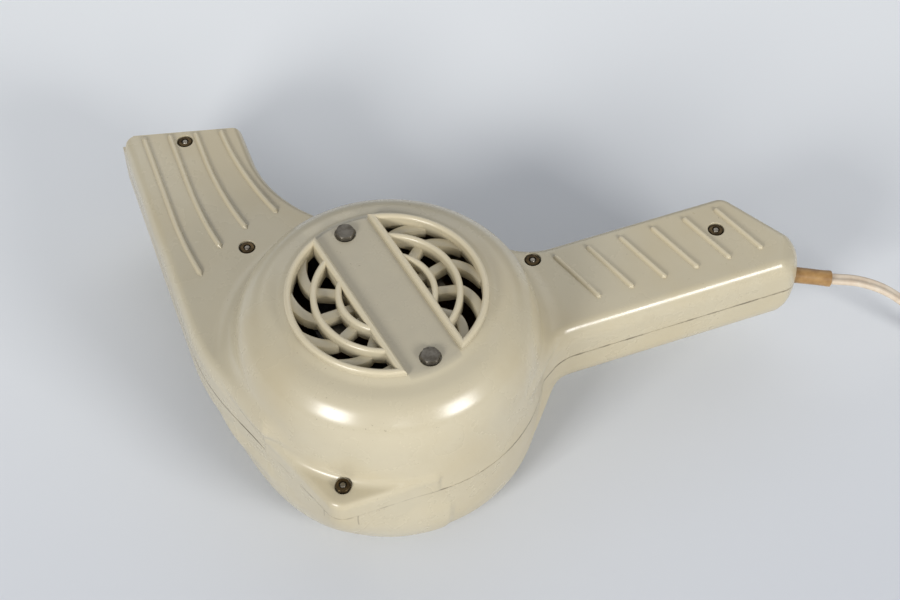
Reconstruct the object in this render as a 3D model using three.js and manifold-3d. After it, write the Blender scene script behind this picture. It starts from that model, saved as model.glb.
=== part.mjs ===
// Hair dryer: a motor drum with a side nozzle and a handle, moulded as two shells.
// Millimetres, +Z up. The dryer lies on the flat of its rear shell at z = 0.
// The motor and the fan turn about Z. The handle runs along +X, the nozzle along +Y.
import * as THREE from 'three';
import { mergeVertices } from 'three/addons/utils/BufferGeometryUtils.js';
import Module from 'manifold-3d';

const wasm = await Module();
wasm.setup();

// ---------------------------------------------------------------- driving dimensions
const drumR = 63;            // outside of the drum at the parting plane
const handleLength = 182;    // drum axis to the tip of the handle
const nozzleLength = 148;    // drum axis to the outer corner of the mouth
const seamZ = 42;            // parting plane between the two shells
const halfBody = 17;         // handle and nozzle, parting plane to outside face
const rimZ = 93;             // top of the grille's rims
const wall = 2.6;            // moulded wall
const shaftR = 2.5;          // motor shaft
const boltR = 1.95;          // M4 motor bolt
const screwR = 1.45;         // M3 housing screw

// ---------------------------------------------------------------- clearances
const gap = 0.3;             // between pieces that touch
const runFit = 0.05;         // radial, shaft in its bearings
const boltFit = 0.3;         // radial, bolt in its holes
const screwFit = 0.3;        // radial, screw in its holes

// ---------------------------------------------------------------- dependent dimensions
const frontZ = seamZ + gap / 2;
const rearZ = seamZ - gap / 2;
const topZ = seamZ + halfBody;           // outside face of handle and nozzle, front shell
const lowZ = seamZ - halfBody;           // the same, rear shell
const barZ = rimZ - 2.8;                 // face of the bar across the grille
const plateZ = barZ - 3.2;               // underside of the grille plate
const rimR = drumR - 23;                 // outside of the raised grille rim
const lugZ = seamZ + 9;                  // flat of the front corner lug
const lugLowZ = seamZ - 13;               // seat of the screw head under the lug
const handleNear = -21.5;                // handle side walls
const handleFar = 25.5;
const nozzleOut = -(drumR + 12.8);       // nozzle side walls
const nozzleIn = -(drumR - 41);
const barAngle = THREE.MathUtils.degToRad(-81);
const barHalf = 11.85;                   // bar, half width between the rims' outsides
const boltPitch = rimR - 5;              // motor bolts, from the drum axis along the bar
const endZ = 80;                         // underside of the motor's front bracket

// ---------------------------------------------------------------- solids
const { Manifold } = wasm;

/** Turn a three.js geometry into a solid for adding and cutting. */
function solid(geometry) {
  const g = geometry.clone();
  g.deleteAttribute('normal');
  g.deleteAttribute('uv');
  const merged = mergeVertices(g, 1e-4);
  return new Manifold(new wasm.Mesh({
    numProp: 3,
    vertProperties: new Float32Array(merged.attributes.position.array),
    triVerts: new Uint32Array(merged.index.array),
  }));
}

const add = (...s) => s.reduce((a, b) => a.add(b));
const cut = (a, ...s) => s.reduce((r, b) => r.subtract(b), a);

/** Box from its low and high corners. */
function block(x0, x1, y0, y1, z0, z1) {
  const g = new THREE.BoxGeometry(x1 - x0, y1 - y0, z1 - z0);
  return solid(g.translate((x0 + x1) / 2, (y0 + y1) / 2, (z0 + z1) / 2));
}

/** Upright cylinder or cone. */
function post(x, y, r, z0, z1, sides = 16, rTop = r) {
  const g = new THREE.CylinderGeometry(rTop, r, z1 - z0, sides);
  return solid(g.rotateX(Math.PI / 2).translate(x, y, (z0 + z1) / 2));
}

/** Hexagonal prism from its width across flats, turned by an angle. */
function hex(x, y, flats, z0, z1, turn = 0) {
  const g = new THREE.CylinderGeometry(flats / Math.sqrt(3), flats / Math.sqrt(3), z1 - z0, 6);
  return solid(g.rotateX(Math.PI / 2).rotateZ(turn).translate(x, y, (z0 + z1) / 2));
}

/** Solid of revolution about Z from [radius, height] points, closed on itself or on the axis. */
function turned(points, sides = 44) {
  const profile = points.map(([r, z]) => new THREE.Vector2(r, z));
  if (THREE.ShapeUtils.area(profile) < 0) profile.reverse();
  if (points[0][0] > 1e-6) profile.push(profile[0].clone());
  return solid(new THREE.LatheGeometry(profile, sides).rotateX(Math.PI / 2));
}

/** Corner points of a polygon given as [x, y, radius], with every corner rounded. */
function rounded(corners, step = 0.42) {
  const out = [];
  corners.forEach(([x, y, r = 0], i) => {
    const c = new THREE.Vector2(x, y);
    const [px, py] = corners[(i + corners.length - 1) % corners.length];
    const [nx, ny] = corners[(i + 1) % corners.length];
    if (r < 1e-6) { out.push(c); return; }
    const a = new THREE.Vector2(px, py).sub(c).normalize();
    const b = new THREE.Vector2(nx, ny).sub(c).normalize();
    const half = Math.acos(THREE.MathUtils.clamp(a.dot(b), -1, 1)) / 2;
    const centre = a.clone().add(b).normalize().multiplyScalar(r / Math.sin(half)).add(c);
    const from = a.multiplyScalar(r / Math.tan(half)).add(c).sub(centre);
    const to = b.multiplyScalar(r / Math.tan(half)).add(c).sub(centre);
    let sweep = to.angle() - from.angle();
    if (sweep > Math.PI) sweep -= 2 * Math.PI;
    if (sweep < -Math.PI) sweep += 2 * Math.PI;
    const n = Math.max(1, Math.ceil(Math.abs(sweep) / step));
    for (let k = 0; k <= n; k += 1) {
      out.push(from.clone().rotateAround(new THREE.Vector2(), (sweep * k) / n).add(centre));
    }
  });
  return out;
}

/** The same polygon drawn in by a distance, corners given anticlockwise. */
function drawnIn(corners, d) {
  const n = corners.length;
  const line = (i) => {
    const [ax, ay] = corners[i % n];
    const [bx, by] = corners[(i + 1) % n];
    const dir = new THREE.Vector2(bx - ax, by - ay).normalize();
    return { p: new THREE.Vector2(ax - dir.y * d, ay + dir.x * d), dir };
  };
  return corners.map(([, , r = 0], i) => {
    const u = line((i + n - 1) % n);
    const v = line(i);
    const turn = u.dir.x * v.dir.y - u.dir.y * v.dir.x;
    const w = v.p.clone().sub(u.p);
    const k = (w.x * v.dir.y - w.y * v.dir.x) / turn;
    const c = u.p.clone().addScaledVector(u.dir, k);
    return [c.x, c.y, r && (turn > 0 ? Math.max(r - d, 0.6) : r + d)];
  });
}

/** Upright prism of an outline. */
function prism(outline, z0, z1) {
  const g = new THREE.ExtrudeGeometry(new THREE.Shape(outline), { depth: z1 - z0, bevelEnabled: false });
  return solid(g.translate(0, 0, z0));
}

/** Upright prism with rounded edges. */
function pillow(outline, z0, z1, across, along, segments = 3) {
  const g = new THREE.ExtrudeGeometry(new THREE.Shape(outline), {
    depth: z1 - z0 - 2 * along,
    bevelThickness: along,
    bevelSize: across,
    bevelOffset: -across,
    bevelSegments: segments,
  });
  return solid(g.translate(0, 0, z0 + along));
}

/** Round or oval rod along a route of [x, y, z] points. */
function rod(route, rx, ry = rx, sides = 8, steps = 24, tension = 0.5) {
  const section = new THREE.Shape();
  for (let i = 0; i < sides; i += 1) {
    const t = (2 * Math.PI * (i + 0.5)) / sides;
    const p = [ry * Math.cos(t), rx * Math.sin(t)];
    if (i) section.lineTo(...p); else section.moveTo(...p);
  }
  const path = route.length === 2
    ? new THREE.LineCurve3(...route.map((p) => new THREE.Vector3(...p)))
    : new THREE.CatmullRomCurve3(route.map((p) => new THREE.Vector3(...p)), false, 'centripetal', tension);
  return new THREE.ExtrudeGeometry(section, { steps, extrudePath: path, bevelEnabled: false });
}

/** Put a solid made around the bar's own axes at the bar's angle. */
const alongBar = (s) => s.rotate([0, 0, THREE.MathUtils.radToDeg(barAngle)]);
const onBar = (u, v) => [
  u * Math.cos(barAngle) - v * Math.sin(barAngle),
  u * Math.sin(barAngle) + v * Math.cos(barAngle),
];

// ---------------------------------------------------------------- plan outlines
const tipR = 10.5;
const handleCorners = [
  [drumR - 22, -39, 0], [drumR + 4.5, handleNear, 20],
  [handleLength + 6, handleNear, tipR], [handleLength - 21, handleFar, 8],
  [drumR + 10, handleFar, 24], [drumR - 18, 43, 0],
];

const scrollDir = new THREE.Vector2(-0.35, 0.937).normalize();   // flat wall from lug to nozzle
const lugCorner = new THREE.Vector2(-(drumR - 19.2), -drumR);
const scrollBend = lugCorner.clone().addScaledVector(scrollDir, 1.38 * drumR);
const mouthDrop = 13.4;                  // the mouth's inner corner lies this much back
const throatR = 60;
const throatX = nozzleIn + throatR;
const throatY = Math.sqrt((drumR + throatR) ** 2 - throatX ** 2);

/** The nozzle with the scroll wall, run on past the mouth, where a plane cuts it. */
const nozzleCorners = [
  [drumR * 0.25, drumR * 0.3, 0],
  [throatX * drumR / (drumR + throatR) + 1, throatY * drumR / (drumR + throatR) - 0.25, 0],
  [nozzleIn, (drumR ** 2 - nozzleIn * throatX * drumR / (drumR + throatR))
    / (throatY * drumR / (drumR + throatR)), throatR],
  [nozzleIn, nozzleLength + 15, 0], [nozzleOut, nozzleLength + 15, 0],
  [scrollBend.x, scrollBend.y, 110], [-59.2 * drumR / 63, -22.1 * drumR / 63, 0],
  [-drumR * 0.3, -drumR * 0.6, 0],
];

/** Everything on the drum's side of the mouth, moved back by a distance. */
function behindMouth(back = 0) {
  const slope = mouthDrop / (nozzleIn - nozzleOut);
  const y = (x) => nozzleLength - back - slope * (x - nozzleOut);
  return prism([
    new THREE.Vector2(-400, -400), new THREE.Vector2(500, -400), new THREE.Vector2(500, 400),
    new THREE.Vector2(nozzleIn + 5, 400), new THREE.Vector2(nozzleIn + 5, y(nozzleIn + 5)),
    new THREE.Vector2(-400, y(-400)),
  ], -50, 200);
}

/** The corner lug between the drum's two tangent walls. */
const lugOutline = rounded([
  [lugCorner.x, lugCorner.y, 8], [-2, -drumR, 0], [-2, -drumR + 12, 0],
  [-drumR * 0.55, -drumR * 0.2, 0], [-59.2 * drumR / 63, -22.1 * drumR / 63, 0],
]);

/** The rear shell's scroll wall, from the lug to the nozzle, and the bowl that rounds its underside. */
const scrollCorners = [
  [lugCorner.x, lugCorner.y, 8], [-4, -drumR, 0], [0, 0, 0],
  [scrollBend.x * 0.6, scrollBend.y + 20, 0], [scrollBend.x + 0.4, scrollBend.y, 30],
];
const scrollFoot = 8;
const bowlProfile = [
  [0, 0.4], [drumR - 12, 1.6], [drumR - 3.2, 9], [drumR + 1, 14.5], [drumR + 6, 23], [drumR + 12.5, 34.5],
  [drumR + 16, seamZ], [0, seamZ],
];

/** A cut that rounds the handle's tip as it is seen from the side, across the tip's own middle line. */
function tipRound(back = 0) {
  const outward = new THREE.Vector2(0.866, -0.5);
  const tipU = handleLength * 0.866 + 5.4 - back;
  const height = halfBody + 0.6 - back;
  const outline = [new THREE.Vector2(-300, -height), new THREE.Vector2(tipU - 7, -height)];
  for (let i = 1; i < 12; i += 1) {
    const t = -Math.PI / 2 + (Math.PI * i) / 12;
    outline.push(new THREE.Vector2(tipU - 7 + 7 * Math.cos(t), height * Math.sin(t)));
  }
  outline.push(new THREE.Vector2(tipU - 7, height), new THREE.Vector2(-300, height));
  const g = new THREE.ExtrudeGeometry(new THREE.Shape(outline), { depth: 300, bevelEnabled: false });
  g.translate(0, 0, -150).rotateX(Math.PI / 2).rotateZ(outward.angle());
  return solid(g.translate(0, 0, seamZ));
}

// ---------------------------------------------------------------- housing
const housingScrews = [
  { id: 'lug', x: -(drumR - 25.2), y: -(drumR - 9.1), top: lugZ, low: lugLowZ, sunk: 0.9 },
  { id: 'handle_end', x: handleLength - 32.7, y: 7.5, top: topZ, low: lowZ, sunk: 3 },
  { id: 'handle_root', x: drumR + 7.4, y: 19.4, top: topZ, low: lowZ, sunk: 3 },
  { id: 'nozzle_tip', x: nozzleOut + 28, y: nozzleLength - 12.7, top: topZ, low: lowZ, sunk: 3 },
  { id: 'nozzle_root', x: nozzleOut + 36.4, y: drumR + 4.6, top: topZ, low: lowZ, sunk: 3 },
];

const frontProfile = [
  [drumR, seamZ], [drumR - 2.5, 70], [drumR - 3.8, 76.2], [drumR - 6.3, 81.4],
  [drumR - 10.2, 85.4], [drumR - 15.5, 88.1], [rimR + 1.5, barZ],
];
const rearProfile = [
  [0, 0], [drumR - 17.5, 0], [drumR - 12, 1.2], [drumR - 7, 4.2], [drumR - 3.1, 9.4],
  [drumR - 1.2, 16.5], [drumR - 0.4, 26], [drumR, seamZ],
];

/** Concave fairing where the drum's wall meets the handle's and the nozzle's faces. */
function fairing(sign) {
  const foot = drumR + 9;
  const points = [[drumR - 6, 0]];
  for (let i = 0; i <= 3; i += 1) {
    const t = (Math.PI / 2) * (i / 3);
    points.push([foot - 10 * Math.sin(t) + 0.4, 10 - 10 * Math.cos(t)]);
  }
  points.push([drumR - 6, 10]);
  return points.map(([r, z]) => [r, sign > 0 ? topZ - 0.4 + z : lowZ + 0.4 - z]);
}

/** One half of the housing's outside, cut at the parting plane. */
function housingOutside(front) {
  const keep = front
    ? block(-300, 400, -300, 300, frontZ, 300)
    : block(-300, 400, -300, 300, -5, rearZ);
  const handle = pillow(rounded(handleCorners), lowZ, topZ, 5, 9).intersect(tipRound());
  const nozzle = pillow(rounded(nozzleCorners), lowZ, topZ, 4, 8);
  const lug = front
    ? pillow(lugOutline, lugLowZ, lugZ, 2.4, 3)
    : prism(rounded(scrollCorners), 0.2, seamZ + 5).intersect(turned(bowlProfile, 60));
  const drum = front
    ? turned([[0, seamZ], ...frontProfile, [0, barZ]])
    : turned([...rearProfile, [0, seamZ]]);
  const reach = add(
    prism(rounded(drawnIn(handleCorners, 5)), lowZ - 12, topZ + 12),
    prism(rounded(drawnIn(nozzleCorners, 4)), lowZ - 12, topZ + 12),
  );
  const blend = turned(fairing(front ? 1 : -1), 48).intersect(reach);
  return add(drum, handle, nozzle, lug, blend).intersect(keep).intersect(behindMouth());
}

/** Inside of the handle and the nozzle, left clear of the drum's own wall. */
const handleInside = () => cut(
  pillow(rounded(drawnIn(handleCorners, wall)), lowZ + wall, topZ - wall, 3.5, 7).intersect(tipRound(wall)),
  post(0, 0, drumR + 0.6, lowZ, topZ, 48),
);
const nozzleInside = () => pillow(
  rounded(drawnIn(nozzleCorners, wall)), lowZ + wall, topZ - wall, 3, 6);

/** D-shaped outline beside the bar, held back from the rim and from the bar. */
function windowOutline(side, radius, chord) {
  const start = Math.asin(chord / radius);
  const points = [];
  const steps = 15;
  for (let i = 0; i <= steps; i += 1) {
    const t = start + ((Math.PI - 2 * start) * i) / steps;
    points.push(new THREE.Vector2(radius * Math.cos(t), side * radius * Math.sin(t)));
  }
  return side > 0 ? points : points.reverse();
}

/** Bar, rims, ring arcs and swirled spokes of the intake grille. */
const rimWidth = 2.7;
function grille(side) {
  const outline = windowOutline(side, rimR, barHalf);
  const inner = windowOutline(side, rimR - rimWidth, barHalf + rimWidth);
  const rim = cut(
    pillow(outline, plateZ, rimZ, 1.0, 1.0, 1),
    prism(inner, plateZ - 1, rimZ + 1),
  );
  const field = alongBar(prism(windowOutline(side, rimR - rimWidth + 0.6, barHalf + rimWidth - 0.6),
    60, rimZ + 1));
  const rings = [rimR - 11.4, rimR - 21.2].map((r) => {
    const w = 1.35;
    return turned([[r - w, plateZ - 1], [r + w, plateZ - 1], [r + w, rimZ - 1.5],
      [r + w * 0.4, rimZ - 0.4], [r - w * 0.4, rimZ - 0.4], [r - w, rimZ - 1.5]], 36);
  });
  return add(alongBar(rim), add(...rings).intersect(field));
}

/** One flat-topped spoke: straight from the hub, then swept round to meet the rim. */
function spoke(angle) {
  const left = [];
  const right = [];
  for (let i = 0; i <= 4; i += 1) {
    const r = i === 0 ? 8 : rimR - 12 + (i - 1) * 3.8;
    const out = Math.max(0, r - (rimR - 12)) / 10;
    const t = angle - THREE.MathUtils.degToRad(21) * out ** 1.5;
    const slope = Math.atan(r * THREE.MathUtils.degToRad(21) * 0.15 * Math.sqrt(out));
    const mid = new THREE.Vector2(r * Math.cos(t), r * Math.sin(t));
    const side = new THREE.Vector2(-Math.sin(t - slope), Math.cos(t - slope)).multiplyScalar(1.9);
    left.push(mid.clone().add(side));
    right.push(mid.clone().sub(side));
  }
  return prism([...right, ...left.reverse()], plateZ - 3, barZ - 1.7);
}

const spokeCount = 13;

/** Round-ended raised rib lying on a face. */
function rib(points, z) {
  const ends = [points[0], points[points.length - 1]].map(
    ([x, y]) => solid(new THREE.SphereGeometry(1.25, 6, 4).rotateX(Math.PI / 2).translate(x, y, z)));
  return add(solid(rod(points.map(([x, y]) => [x, y, z]), 1.25, 1.25, 6, points.length > 2 ? 7 : 1)), ...ends);
}

function handleRibs() {
  const pitch = (handleLength - drumR - 45) / 5;
  return Array.from({ length: 6 }, (_, i) => {
    const x = drumR + 21.1 + i * pitch;
    const [dx, dy] = [0.326 * 14, -0.946 * 14];
    return rib([[x - dx, 4.3 - dy], [x + dx, 4.3 + dy]], topZ);
  });
}

function nozzleRibs() {
  return Array.from({ length: 4 }, (_, i) => {
    const x0 = nozzleOut + 11.5 + 11 * i;
    const bend = nozzleLength - 53 + 13.5 * i;
    const low = drumR - 3 + [0, 11.5, 18, 22][i];
    const tip = nozzleLength - 2.6 - (mouthDrop / (nozzleIn - nozzleOut)) * (x0 - nozzleOut);
    const points = [];
    for (let k = 0; k <= 6; k += 1) {
      const y = tip + ((low - tip) * k) / 6;
      points.push([x0 + Math.max(0, bend - y) ** 2 / (2 * (219 - 21 * i)), y]);
    }
    return rib(points, topZ);
  });
}

const [boltAx, boltAy] = onBar(boltPitch, 0);
const boltSites = [[boltAx, boltAy], [-boltAx, -boltAy]];

// switch place, in the handle's far wall
const switchX = (drumR + handleLength) / 2 - 18.5;
const switchTravel = 8;
const slotHalf = 0.25 + 2.5;

// cord outlet at the near corner of the handle's end
const outDir = new THREE.Vector3(Math.cos(-0.42), Math.sin(-0.42), -0.1).normalize();
const noseX = handleLength - 9;
const noseY = handleNear + 9;
const outletAt = (d) => [noseX + outDir.x * d, noseY + outDir.y * d, seamZ + outDir.z * d];

function outletHole(r) {
  return solid(rod([outletAt(-6), outletAt(20)], r, r, 16, 1));
}

function screwColumn({ x, y, top, low, sunk }, front) {
  return front
    ? post(x, y, 4.6, frontZ, top - Math.min(1, sunk), 12)
    : post(x, y, 4.6, low > lowZ ? scrollFoot : low + 1, rearZ, 12);
}

function screwHoles({ x, y, top, low, sunk }) {
  return add(
    post(x, y, screwR + screwFit, low - 8, top + 8, 12),
    post(x, y, 3.7, top - sunk, top + 14, 14),
    post(x, y, 3.5, low - 24, low + 2.6, 14),
  );
}

function frontShell() {
  const inside = add(
    turned([[0, seamZ - 1], [drumR - wall, seamZ - 1], [drumR - wall - 2.5, 70],
      [drumR - wall - 4.5, 77], [drumR - wall - 9, 82], [drumR - wall - 16, 85.6],
      [rimR - 1.4, plateZ], [0, plateZ]]),
    cut(handleInside(), block(0, drumR + 3, -60, 60, 0, 100)),
    cut(nozzleInside(), post(0, 0, drumR, 0, 100, 48)),
  );
  let shell = cut(housingOutside(true), inside);
  const windows = [1, -1].map((s) => alongBar(
    prism(windowOutline(s, rimR - rimWidth, barHalf + rimWidth), plateZ - 2, rimZ + 2)));
  shell = cut(shell, ...windows);
  const spokes = Array.from({ length: spokeCount },
    (_, i) => spoke(THREE.MathUtils.degToRad(16 + (360 / spokeCount) * i)));
  const hub = post(0, 0, 12, plateZ - 3, plateZ + 1, 32);
  const web = add(...spokes, hub).intersect(post(0, 0, rimR - 0.8, 60, rimZ, 48));
  const bosses = boltSites.map(([x, y]) => post(x, y, 4.6, endZ + 2.5 + gap, plateZ + 1, 14));
  const columns = housingScrews.map((s) => screwColumn(s, true));
  shell = add(shell, grille(1), grille(-1), web, ...bosses, ...columns, ...handleRibs(), ...nozzleRibs());
  return cut(
    shell,
    ...boltSites.map(([x, y]) => add(post(x, y, boltR + boltFit, 70, 100, 16),
      post(x, y, 5, barZ - 1.2, 100, 24))),
    ...housingScrews.map(screwHoles),
    switchSlot(),
    wireHole(),
    outletHole(3.9),
  ).intersect(block(-300, 400, -300, 300, frontZ, 300));
}

const switchSlot = () => block(switchX - slotHalf, switchX + slotHalf + switchTravel,
  handleFar - wall - 2, handleFar + 3, seamZ - 2.3, seamZ + 2.3);
const wireHole = () => solid(rod([[drumR - 8, -6, seamZ + 8], [drumR + 6, -6, seamZ + 8]], 3.5, 3.5, 14, 1));

function rearShell() {
  const inset = (k) => rearProfile.slice(k).map(([r, z]) => [r - wall, Math.max(z + wall * 0.7, 3)]);
  const inside = add(
    turned([[0, 3], [drumR - 20, 3], ...inset(2).slice(0, 4), [drumR - wall - 2.6, 32],
      [drumR - wall - 2.6, seamZ - 2.8], [drumR - wall, seamZ - 2.8], [drumR - wall, seamZ + 1],
      [0, seamZ + 1]]),
    cut(handleInside(), block(0, drumR + 3, -60, 60, 0, 100)),
    nozzleInside().intersect(block(-200, 20, -18, 300, 0, 100)),
    prism(rounded(drawnIn(scrollCorners, wall)), wall, seamZ + 3)
      .intersect(turned(bowlProfile.map(([r, z]) => [Math.max(r - wall, 0), z + (r ? wall : 2 * wall)]), 60)),
  );
  const outside = housingOutside(false);
  const columns = housingScrews.map((s) => screwColumn(s, false).intersect(outside));
  const shell = add(cut(outside, inside), ...columns);
  return cut(shell, ...housingScrews.map(screwHoles), switchSlot(), outletHole(3.9))
    .intersect(block(-300, 400, -300, 300, -1, rearZ));
}

// ---------------------------------------------------------------- fasteners
const motorBolt = ([x, y]) => add(
  hex(x, y, 7, barZ - 1.2 + gap, barZ + 1.9, 0.35),
  post(x, y, boltR, seamZ + 1, barZ, 16),
);

const housingScrew = ({ x, y, top, low, sunk }) => cut(
  add(
    post(x, y, 2.8, low + 0.3, low + 2.6 - gap, 16),
    post(x, y, screwR, low + 2, top - sunk + 3.0, 14),
  ),
  block(x - 4, x + 4, y - 0.4, y + 0.4, low - 1, low + 1.1),
);

const housingNut = ({ x, y, top, sunk }) => cut(
  hex(x, y, 5.5, top - sunk + gap, top - sunk + gap + 2.3, 0.2),
  post(x, y, screwR + 0.25, top - 10, top + 10, 14),
);

// ---------------------------------------------------------------- motor
const stackLow = 49.5;
const stackTop = 63.7;

function bracketTop() {
  const legs = [1, -1].map((s) => post(s * boltPitch, 0, 4.6, stackTop + gap, endZ + 1, 16));
  const body = add(
    pillow(rounded([[-boltPitch - 6, -7.5, 5], [boltPitch + 6, -7.5, 5], [boltPitch + 6, 7.5, 5],
      [-boltPitch - 6, 7.5, 5]]), endZ, endZ + 2.5, 0.4, 0.4, 1),
    block(-4.5, 4.5, -25, 25, endZ, endZ + 2.5),
    post(0, 0, 7.8, 74.6, endZ + 1, 22),
    ...legs,
  );
  return alongBar(cut(
    body,
    post(0, 0, 5 + gap, 70, endZ, 18),
    ...[1, -1].map((s) => post(s * boltPitch, 0, boltR + boltFit, 60, 90, 16)),
  ));
}

const lowPlateZ = seamZ + 0.4;

function bracketBottom() {
  const legs = [1, -1].map((s) => post(s * boltPitch, 0, 4.6, lowPlateZ, stackLow - gap, 16));
  return alongBar(cut(
    add(
      pillow(rounded([[-boltPitch - 6, -7.5, 5], [boltPitch + 6, -7.5, 5], [boltPitch + 6, 7.5, 5],
        [-boltPitch - 6, 7.5, 5]]), lowPlateZ, lowPlateZ + 2.5, 0.4, 0.4, 1),
      post(0, 0, 7.8, 38, lowPlateZ + 2, 22),
      ...legs,
    ),
    post(0, 0, 5 + gap, 39.2, 60, 18),
    post(0, 0, shaftR + 0.6, 30, 60, 16),
    ...[1, -1].map((s) => post(s * boltPitch, 0, boltR + boltFit, 30, 60, 16)),
  ));
}

const bearing = (z0, z1) => cut(post(0, 0, 5, z0, z1, 22), post(0, 0, shaftR + runFit, z0 - 1, z1 + 1, 22));

function stator() {
  const body = prism(rounded([
    [-boltPitch - 5.5, -6, 4], [-30, -9, 4], [-26, -25, 5], [26, -25, 5], [30, -9, 4],
    [boltPitch + 5.5, -6, 4], [boltPitch + 5.5, 6, 4], [30, 9, 4], [26, 25, 5], [-26, 25, 5],
    [-30, 9, 4], [-boltPitch - 5.5, 6, 4],
  ]), stackLow, stackTop);
  const slots = [1, -1].flatMap((u) => [1, -1].map((v) => block(
    u > 0 ? 11 : -19.4, u > 0 ? 19.4 : -11, v > 0 ? 14.8 : -19.4, v > 0 ? 19.4 : -14.8, 40, 70)));
  return alongBar(cut(
    body,
    post(0, 0, 14.3, 40, 70, 40),
    ...slots,
    ...[1, -1].map((s) => post(s * boltPitch, 0, boltR + boltFit, 40, 70, 16)),
  ));
}

function fieldCoil(side) {
  const y0 = side > 0 ? 15.2 : -19;
  const ring = (x, zLow, zTop, r) => {
    const g = new THREE.ExtrudeGeometry(
      new THREE.Shape(rounded([[-x, zLow, r], [x, zLow, r], [x, zTop, r], [-x, zTop, r]])),
      { depth: 3.8, bevelEnabled: false },
    );
    return solid(g.rotateX(Math.PI / 2).translate(0, y0 + 3.8, 0));
  };
  const inner = new THREE.ExtrudeGeometry(
    new THREE.Shape(rounded([[-11.4, stackLow - 0.4, 1], [11.4, stackLow - 0.4, 1],
      [11.4, stackTop + 0.4, 1], [-11.4, stackTop + 0.4, 1]])),
    { depth: 8, bevelEnabled: false },
  );
  return alongBar(cut(
    ring(18.8, stackLow - 4.2, stackTop + 4.2, 4),
    solid(inner.rotateX(Math.PI / 2).translate(0, y0 + 6, 0)),
  ));
}

function armatureCore() {
  const outline = [];
  const slots = 12;
  for (let i = 0; i < slots; i += 1) {
    const at = (r, t) => new THREE.Vector2(r * Math.cos(t), r * Math.sin(t));
    const a = (2 * Math.PI * i) / slots;
    outline.push(at(13.7, a), at(13.7, a + 0.21), at(13.7, a + 0.4), at(9.6, a + 0.38), at(9.6, a + 0.14 + 0.38));
  }
  return cut(prism(outline, stackLow, stackTop), post(0, 0, shaftR + gap, 40, 70, 16));
}

const windingRing = (z0, z1) => turned([
  [shaftR + 1.2, z0], [9.6, z0], [12, z0 + 1.2], [12, z1 - 1.2], [9.6, z1], [shaftR + 1.2, z1],
], 28);

const commutator = () => turned([
  [shaftR + gap, 68], [8.9, 68], [8.9, 69], [8, 69.4], [8, 74.2], [shaftR + gap, 74.2],
], 24);

function brushHolder(side) {
  const y = (a, b) => (side > 0 ? [a, b] : [-b, -a]);
  return alongBar(cut(
    block(-4.4, 4.4, ...y(9.6, 24.5), 68.3, endZ - gap),
    block(-2.6, 2.6, ...y(9, 23.2), 69.1, 74.3),
  ));
}

const brush = (side) => alongBar(side > 0
  ? block(-2.3, 2.3, 8.3, 17.6, 69.4, 74)
  : block(-2.3, 2.3, -17.6, -8.3, 69.4, 74));

function brushSpring(side) {
  const route = [];
  for (let i = 0; i <= 24; i += 1) {
    const t = (2 * Math.PI * i) / 8;
    route.push([1.6 * Math.cos(t), side * (18.2 + (4.4 * i) / 24), 71.7 + 1.6 * Math.sin(t)]);
  }
  return alongBar(solid(rod(route, 0.32, 0.32, 4, 27)));
}

// ---------------------------------------------------------------- fan
const fanR = drumR - 16;

function impeller() {
  const blades = Array.from({ length: 12 }, (_, i) => {
    const a = (2 * Math.PI * i) / 12;
    const left = [];
    const right = [];
    for (let k = 0; k <= 3; k += 1) {
      const f = k / 3;
      const r = fanR - 19 + 18.6 * f;
      const t = a + 0.5 * f;
      const n = new THREE.Vector2(-Math.sin(t + 0.5), Math.cos(t + 0.5)).multiplyScalar(0.65);
      const p = new THREE.Vector2(r * Math.cos(t), r * Math.sin(t));
      left.push(p.clone().add(n));
      right.push(p.clone().sub(n));
    }
    return prism([...right, ...left.reverse()], 13.4, 34.4);
  });
  const body = add(
    turned([[0, 12], [fanR, 12], [fanR, 13.6], [11, 13.8], [8.2, 17], [8.2, 36], [0, 36]], 48),
    cut(post(0, 0, fanR, 34, 35.6, 48), post(0, 0, fanR - 14, 30, 40, 48)),
    ...blades,
  );
  return cut(body, post(0, 0, shaftR + gap, 0, 50, 16));
}

const fanNut = () => cut(hex(0, 0, 9, 6.4, 12 - gap, 0), post(0, 0, shaftR + gap, 0, 50, 16));

const inletRing = () => cut(
  turned([[31, 37.4], [32.4, 37.4], [33.6, 39.5], [drumR - wall - 0.3, 39.5],
    [drumR - wall - 0.3, 41.2], [32.4, 41.2], [31, 39.6]], 36),
  ...housingScrews.map(({ x, y }) => post(x, y, 4.6 + gap, 0, 100, 16)),
);

// ---------------------------------------------------------------- heater and outlet
const heatLow = drumR + 27;
const heatHigh = nozzleLength - 24;
const ductX = (nozzleOut + nozzleIn) / 2;
const ductHalf = (nozzleIn - nozzleOut) / 2 - wall;

const coilHalfX = ductHalf - 4.1;        // heater winding, half its width and half its height
const coilHalfZ = halfBody - wall - 2.8;
const boardInset = 2.5;
const heaterBoard = () => add(
  block(ductX - 0.6, ductX + 0.6, heatLow, heatHigh, seamZ - coilHalfZ + boardInset, seamZ + coilHalfZ - boardInset),
  block(ductX - coilHalfX + boardInset, ductX + coilHalfX - boardInset, heatLow, heatHigh, seamZ - 0.6, seamZ + 0.6),
);

function heaterCoil() {
  const turns = 5;
  const route = [];
  for (let i = 0; i <= turns * 12; i += 1) {
    const t = (2 * Math.PI * i) / 12 + 0.4;
    route.push([
      ductX + coilHalfX * Math.cos(t),
      heatLow + 3 + ((heatHigh - heatLow - 6) * i) / (turns * 12),
      seamZ + coilHalfZ * Math.sin(t),
    ]);
  }
  return rod(route, 1.1, 1.1, 5, turns * 12);
}

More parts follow.
